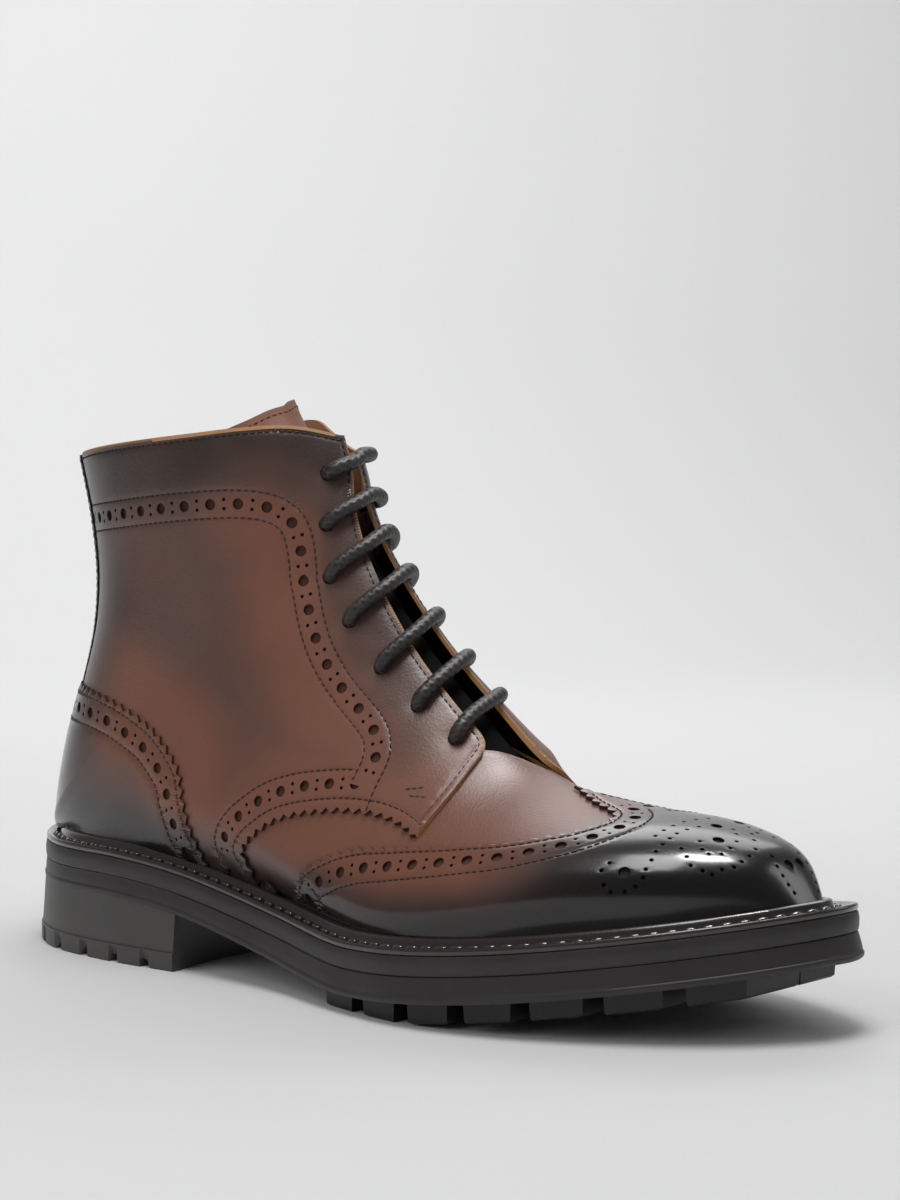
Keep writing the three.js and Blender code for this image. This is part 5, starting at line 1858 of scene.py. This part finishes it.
        loops = [
            loop(0.0, lambda x: self.sole.wall_foot(x) + 0.3),
            loop(0.35, lambda x: self.lug_height(x) + 0.5),
            loop(1.1, self.lug_height),
        ]
        # The lugs take the rubber's near black: painted shade under the sole
        self.prism(draft, loops, 0.9)

    def welt(self, draft: MeshDraft) -> None:
        """Adds the storm welt: thin edge, stitch groove and rounded rib by the upper."""
        s = self.sole
        feather = s.feather

        def at(inset: Callable | float, rise: float) -> tuple:
            """A ring of the welt at a height over the midsole."""
            return inset, lambda x: s.top(x) + SEAT_RISE + rise

        def beside(shift: float) -> Callable:
            """Inset of a line beside the stitch groove."""
            return lambda x: feather(x) - 2.7 + shift

        profile = [
            at(lambda x: feather(x) + 0.9, 2.0), at(lambda x: feather(x) + 0.35, 3.3),
            at(lambda x: feather(x) - 0.1, 3.95), at(beside(1.9), 4.15), at(beside(1.2), 4.05),
            at(beside(0.55), 3.6), at(beside(0.18), 2.7), at(beside(-0.1), 1.6), at(beside(-0.5), 1.15),
            at(2.6, 1.1), at(2.15, 1.3), at(1.8, 1.65), at(1.1, 1.85), at(0.5, 1.8), at(0.15, 1.45),
            at(0.0, 0.9), at(0.1, 0.2), at(0.4, -0.2), at(2.5, -0.3),
        ]
        self.swept(draft, profile, half=self.welt_half)

    def welt_stitches(self) -> list[StitchRow]:
        """The row of heavy stitches in the welt's groove."""
        s = self.sole
        ring = s.ring(lambda x: s.feather(x) - 3.9, lambda x: s.top(x) + 1.65, self.welt_half)
        ring = np.vstack([ring, ring[:1]])
        return [stitch_row(ring, np.tile((0.0, 0.0, 1.0), (len(ring), 1)), WELT_SEAM)]


# Tongue, insole and lace


@dataclass
class Inside:
    """Tongue, insole and lace."""

    surface: LastSurface
    tongue_gap: float = 5.4
    tongue_thickness: float = 2.0
    tongue_lit: tuple[float, float] = (148.0, 12.0)
    cord_radius: float = 2.2

    def tongue_line(self, share: float, rows: Array, lift: float) -> Array:
        """Points down the tongue at one share of its width, from -1 outer to 1 inner."""
        table = np.array(TONGUE_ROWS)
        half = np.interp(rows, table[:, 0], table[:, 1]) * self.surface.sole.ball_width
        lean, aside = (np.interp(rows, table[:, 0], table[:, k]) for k in (2, 3))
        side = Side.OUTER if share < 0 else Side.INNER
        girth = abs(share) * self.surface.girth_at_width(rows, half, side)
        points = self.surface.at(rows, girth, lift)
        points[:, 0] -= lean * mix(1.0, 0.85, share**2)
        points[:, 1] -= aside * (1.0 - 0.55 * max(0.0, -share))
        return points

    def tongue(self, draft: MeshDraft) -> Array:
        """Adds the tongue and returns the line of its stitched top edge."""
        top = catmull(np.array(TONGUE_TOP), False, 8)
        shares = np.linspace(-1.0, 1.0, 61)
        ends = np.interp(shares, top[:, 0], top[:, 1])
        down = np.linspace(0.0, 1.0, 130)
        first = TONGUE_ROWS[0][0]
        sheets = []
        for lift in (-self.tongue_gap, -self.tongue_gap - self.tongue_thickness):
            lines = [self.tongue_line(share, mix(first, end, down), lift) for share, end in zip(shares, ends)]
            sheets.append(np.stack(lines, 1))
        for sheet in sheets:
            for _ in range(6):
                sheet[1:-1] = 0.5 * sheet[1:-1] + 0.25 * (sheet[:-2] + sheet[2:])
        n, m = len(down), len(shares)
        # Painted shade: below its lit height the tongue is coloured darker, down to near black in the throat
        shade = 1.0 - 0.9 * ease(sheets[0][..., 2].ravel(), *self.tongue_lit)
        draft.add(sheets[0].reshape(-1, 3), grid_faces(n, m), 0, shade)
        draft.add(sheets[1].reshape(-1, 3), [f[::-1] for f in grid_faces(n, m)], 1, 0.2)
        rim = [*range(m), *range(2 * m - 1, n * m, m), *range(n * m - 2, (n - 1) * m - 1, -1)]
        rim += [*range((n - 2) * m, 0, -m)]
        front, back = sheets[0].reshape(-1, 3)[rim], sheets[1].reshape(-1, 3)[rim]
        count = len(rim)
        draft.add(np.vstack([back, front]), grid_faces(2, count, True), 2, 0.3)
        inner = np.vstack([sheets[0][60:-3, 2], sheets[0][-4, 3:-3], sheets[0][60:-3, -3][::-1]])
        return resample(inner, 0.8)

    def insole(self, draft: MeshDraft) -> None:
        """Adds the insole."""
        s = self.surface.sole

        def reach(x: Array) -> Array:
            """Inset of the insole's edge."""
            return s.feather(x) + 3.2

        rim, low = (s.ring(reach, lambda x, r=rise: s.top(x) + r, 160) for rise in (1.6, -0.6))
        SoleParts.face(draft, rim, 1.0)
        draft.add(np.vstack([rim, low]), grid_faces(2, len(rim), True))

    def lace(self, draft: MeshDraft, throat: dict) -> None:
        """Adds the seven straight bars of the lace, each through its two holes.

        Args:
            draft: the mesh to add to.
            throat: edge of the facing on each side.
        """
        for number, (row, _) in enumerate(LACE_HOLES):
            halves = []
            for side in Side:
                end, girth = lace_places(side)[number]
                lip_row = row + INNER_HOLE_RISE * LIP_RISE[side]
                edge = throat[side]
                lip = edge[int(np.argmin(np.abs(edge[:, 0] - lip_row))), 1]
                share, lift = np.array(LACE_LADDER).T
                halves.append(self.surface.at(mix(end, lip_row, share), mix(girth, lip, share), lift))
            path = np.vstack([halves[0], halves[1][::-1]])
            self.cord(draft, resample(catmull(path, False, 16), 0.28))

    def cord(self, draft: MeshDraft, line: Array, around: int = 30) -> None:
        """Adds a braided round cord along a line.

        Args:
            draft: the mesh to add to.
            line: the cord's middle line.
            around: points round the cord.
        """
        tangent = LastSurface.unit(np.gradient(line, axis=0))
        side = LastSurface.unit(np.cross(tangent, np.array([0.0, 0.0, 1.0])))
        up = np.cross(side, tangent)
        run = run_of(line)[:, None]
        turn = np.linspace(0.0, 2 * np.pi, around, endpoint=False)[None]
        plait = np.maximum(np.sin(5 * turn + run * 2.4), np.sin(5 * turn - run * 2.4))
        radius = self.cord_radius * (1.0 + 0.055 * plait)
        points = line[:, None] + radius[..., None] * (
            np.cos(turn)[..., None] * side[:, None] + np.sin(turn)[..., None] * up[:, None]
        )
        faces = [f[::-1] for f in grid_faces(len(line), around, True)]
        # Painted light and shade: the braid's ridges are coloured lighter and its grooves darker
        draft.add(points.reshape(-1, 3), faces, 0, 0.5 - 0.5 * plait.ravel())


# Stage


@dataclass(frozen=True)
class Photographer:
    """Camera, lights and floor that match the photo."""

    place: tuple[float, float, float] = (0.59625, -0.66504, 0.17099)
    azimuth: float = 0.713738473
    pitch: float = 0.060563382
    lens: float = 87.78

    def camera(self) -> None:
        """Sets the camera."""
        data = bpy.data.cameras.new("camera")
        data.lens = self.lens
        data.sensor_width = 36.0
        data.clip_start = 0.01
        camera = bpy.data.objects.new("camera", data)
        camera.location = self.place
        camera.rotation_euler = (math.pi / 2 - self.pitch, 0.0, self.azimuth)
        bpy.context.scene.collection.objects.link(camera)
        bpy.context.scene.camera = camera

    @staticmethod
    def area(
        name: str, place: tuple, aim: tuple, size: tuple[float, float], power: float,
        mirrored: bool = True, diffuse: bool = True,
    ) -> None:
        """Adds a soft rectangular light aimed at a point.

        Args:
            name: Name of the light.
            place: Where it stands, in metres.
            aim: The point it faces.
            size: Width and height.
            power: Watts.
            mirrored: Whether glossy surfaces show it as a highlight.
            diffuse: Whether it lights matt surfaces.
        """
        data = bpy.data.lights.new(name, "AREA")
        data.shape = "RECTANGLE"
        data.size, data.size_y = size
        data.energy = power
        light = bpy.data.objects.new(name, data)
        light.location = place
        light.visible_glossy = mirrored
        light.visible_diffuse = diffuse
        light.rotation_euler = (Vector(aim) - Vector(place)).to_track_quat("-Z", "Y").to_euler()
        bpy.context.scene.collection.objects.link(light)

    def studio(self) -> bpy.types.Object:
        """Adds lights and world, and returns the pale floor that sweeps up behind."""
        scene = bpy.context.scene
        scene.view_settings.view_transform = "Standard"
        world = bpy.data.worlds.new("studio")
        world.use_nodes = True
        world.node_tree.nodes["Background"].inputs["Color"].default_value = linear("#e4e5e6")
        world.node_tree.nodes["Background"].inputs["Strength"].default_value = 0.20
        scene.world = world
        self.area("overhead", (0.15, -0.16, 1.12), (0.09, -0.02, 0.05), (0.40, 0.66), 6.2)
        self.area("toe light", (0.21, 0.24, 1.02), (0.11, -0.03, 0.07), (0.24, 0.26), 6.0, diffuse=False)
        self.area("side", (-0.35, -1.00, 0.75), (0.0, 0.0, 0.08), (1.1, 1.0), 5.2, mirrored=False)
        self.area("rear left", (-0.40, 0.85, 0.95), (0.05, 0.0, 0.08), (0.8, 0.5), 2.4)
        self.area("rear right", (0.70, 0.90, 0.70), (0.10, 0.0, 0.06), (0.3, 0.5), 1.0)
        self.area("backdrop", (-0.90, 0.10, 1.70), (-1.50, 1.40, 1.30), (1.3, 0.9), 29.0, mirrored=False)
        return self.floor()

    def floor(self) -> bpy.types.Object:
        """The paper floor: flat under the boot, then a wide bend up behind it."""
        end, bend, half_width = 1.1, 0.6, 3.0
        profile = [(-3.0, 0.0), (end, 0.0)]
        for turn in np.linspace(0.1, math.pi / 2, 14):
            profile.append((end + bend * math.sin(turn), bend - bend * math.cos(turn)))
        profile.append((end + bend, 3.0))
        along = Vector((-math.sin(self.azimuth), math.cos(self.azimuth), 0.0))
        across = Vector((math.cos(self.azimuth), math.sin(self.azimuth), 0.0))
        points = []
        for forward, up in profile:
            for sideways in (-half_width, half_width):
                points.append(along * forward + across * sideways + Vector((0.0, 0.0, up)))
        faces = [(2 * k, 2 * k + 1, 2 * k + 3, 2 * k + 2) for k in range(len(profile) - 1)]
        mesh = bpy.data.meshes.new("backdrop")
        mesh.from_pydata([tuple(p) for p in points], [], faces)
        mesh.polygons.foreach_set("use_smooth", [True] * len(faces))
        paper = bpy.data.materials.new("backdrop_paper")
        paper.use_nodes = True
        shader = paper.node_tree.nodes["Principled BSDF"]
        shader.inputs["Base Color"].default_value = linear("#e0e0e0")
        shader.inputs["Roughness"].default_value = 0.9
        mesh.materials.append(paper)
        floor = bpy.data.objects.new("backdrop", mesh)
        bpy.context.scene.collection.objects.link(floor)
        return floor


# The whole boot


@dataclass
class Boot:
    shift: FrameShift
    sole: SoleShape = field(default_factory=SoleShape)

    def declare(self, obj: bpy.types.Object, slot: str, *nodes: str) -> None:
        """Ties a piece to the root body and hides the CAD nodes it stands for."""
        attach(obj, "root")
        if nodes:
            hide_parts(*nodes)
        LOG.info("%s: %d faces", obj.name, len(obj.data.polygons))

    def leather(
        self, name: str, slot: str, node: str, panels: list[Panel], materials: list,
        floor_slot: int = Layer.FLOOR,
    ) -> None:
        """Makes one leather piece of the upper.

        Args:
            name: name of the piece.
            slot: its material slot, not used.
            node: the CAD node it stands for.
            panels: its panels.
            materials: grain, cut edge, flesh and the rest, as the panels number them.
            floor_slot: number of the material of the hole floors.
        """
        darkening = Burnish(self.sole)
        draft = MeshDraft()
        for panel in panels:
            panel.draft(darkening, draft)
            panel.floors(darkening, draft, floor_slot)
        self.declare(draft.build(name, self.shift, materials), slot, node)

    def build(self) -> None:
        """Builds every piece."""
        surface = LastSurface(self.sole)
        upper = Upper(surface)
        calf, dark, dark_edge, raw = (f.material() for f in (CALF, DARK_CALF, DARK_EDGE, RAW_EDGE))
        lining, floor = LINING_PAINTED_SHADE.material(), HOLE_FLOOR.material()
        skins = [calf, raw, lining, floor, dark_edge]
        for side, node in ((Side.OUTER, "quarter_outer"), (Side.INNER, "quarter_inner")):
            self.leather(f"dressed_{node}", "brown_calf", node, [upper.quarter(side)], skins)
        self.leather("dressed_vamp", "brown_calf", "upper", [upper.vamp()], [calf, raw, lining])
        cap = [dark, dark_edge, lining, floor]
        self.leather("dressed_wing_cap", "dark_calf", "wing_cap", [upper.wing()], cap)
        halves, skins = [upper.counter(side) for side in Side], [dark, dark_edge, floor]
        self.leather("dressed_counter", "dark_calf", "heel_counter", halves, skins, Layer.FLESH)
        halves, skins = [upper.strip(side) for side in Side], [calf, dark_edge, floor]
        self.leather("dressed_back_strip", "brown_calf", "back_strip", halves, skins, Layer.FLESH)
        self.inside(surface, upper, lining)
        self.under()

    def inside(self, surface: LastSurface, upper: Upper, lining: bpy.types.Material) -> None:
        """Builds tongue, insole, lace and the stitches of the upper.

        Args:
            surface: the boot's surface.
            upper: the upper with its panels laid out.
            lining: the lining's material.
        """
        parts = Inside(surface)
        draft = MeshDraft()
        edge = parts.tongue(draft)
        skins = [TONGUE_LEATHER_PAINTED_SHADE.material(), lining, DARK_EDGE.material()]
        self.declare(draft.build("dressed_tongue", self.shift, skins), "brown_calf", "tongue")
        draft = MeshDraft()
        parts.insole(draft)
        self.declare(draft.build("dressed_insole", self.shift, [lining]), "lining", "insole")
        draft = MeshDraft()
        parts.lace(draft, {side: upper.throat_edge(side) for side in Side})
        nodes = [f"lace_bar_{k + 1}" for k in range(len(LACE_HOLES))]
        self.declare(draft.build("dressed_lace", self.shift, [CORD_PAINTED_LIGHT.material()]), "waxed_lace", *nodes)
        seams = [(path, lift) for path, lift in upper.seam_paths if len(path) > 3]
        rows = [stitch_row(surface.on(path, lift), surface.normal(path), SEAM) for path, lift in seams]
        rows.append(stitch_row(edge, np.tile((0.7, 0.0, 0.7), (len(edge), 1)), SEAM))
        thread = stitches("upper_stitches", rows, SEAM, self.shift, THREAD.material())
        self.declare(thread, "brown_calf")

    def under(self) -> None:
        """Builds welt, midsole, outsole, heel and welt stitches."""
        parts = SoleParts(self.sole)
        welt, midsole, outsole, top_piece = (MeshDraft() for _ in range(4))
        parts.welt(welt)
        parts.walls(midsole, outsole)
        parts.heel(outsole, top_piece)
        parts.lugs(outsole)
        rubber, leather = RUBBER_PAINTED_LIGHT.material(), WELT_LEATHER.material()
        self.declare(welt.build("dressed_welt", self.shift, [leather]), "welt_leather", "welt")
        self.declare(midsole.build("dressed_midsole", self.shift, [rubber]), "sole_rubber", "midsole")
        self.declare(outsole.build("dressed_outsole", self.shift, [rubber]), "sole_rubber", "outsole")
        heel = top_piece.build("dressed_top_piece", self.shift, [rubber])
        self.declare(heel, "sole_rubber", "heel_top_piece")
        row = stitches("welt_stitches", parts.welt_stitches(), WELT_SEAM, self.shift, WELT_THREAD.material())
        self.declare(row, "welt_leather")


def clear_scene() -> None:
    """Removes everything of the start-up scene."""
    for obj in list(bpy.data.objects):
        bpy.data.objects.remove(obj, do_unlink=True)


def main() -> None:
    """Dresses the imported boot."""
    logging.basicConfig(level=logging.INFO, format="%(name)s: %(message)s")
    clear_scene()
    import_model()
    low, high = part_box("outsole")
    LOG.info("outsole runs from %.4f to %.4f m", low.x, high.x)
    Boot(FrameShift(*FRAME_PLACE)).build()
    photographer = Photographer()
    photographer.camera()
    photographer.studio()


if __name__ == "__main__":
    main()
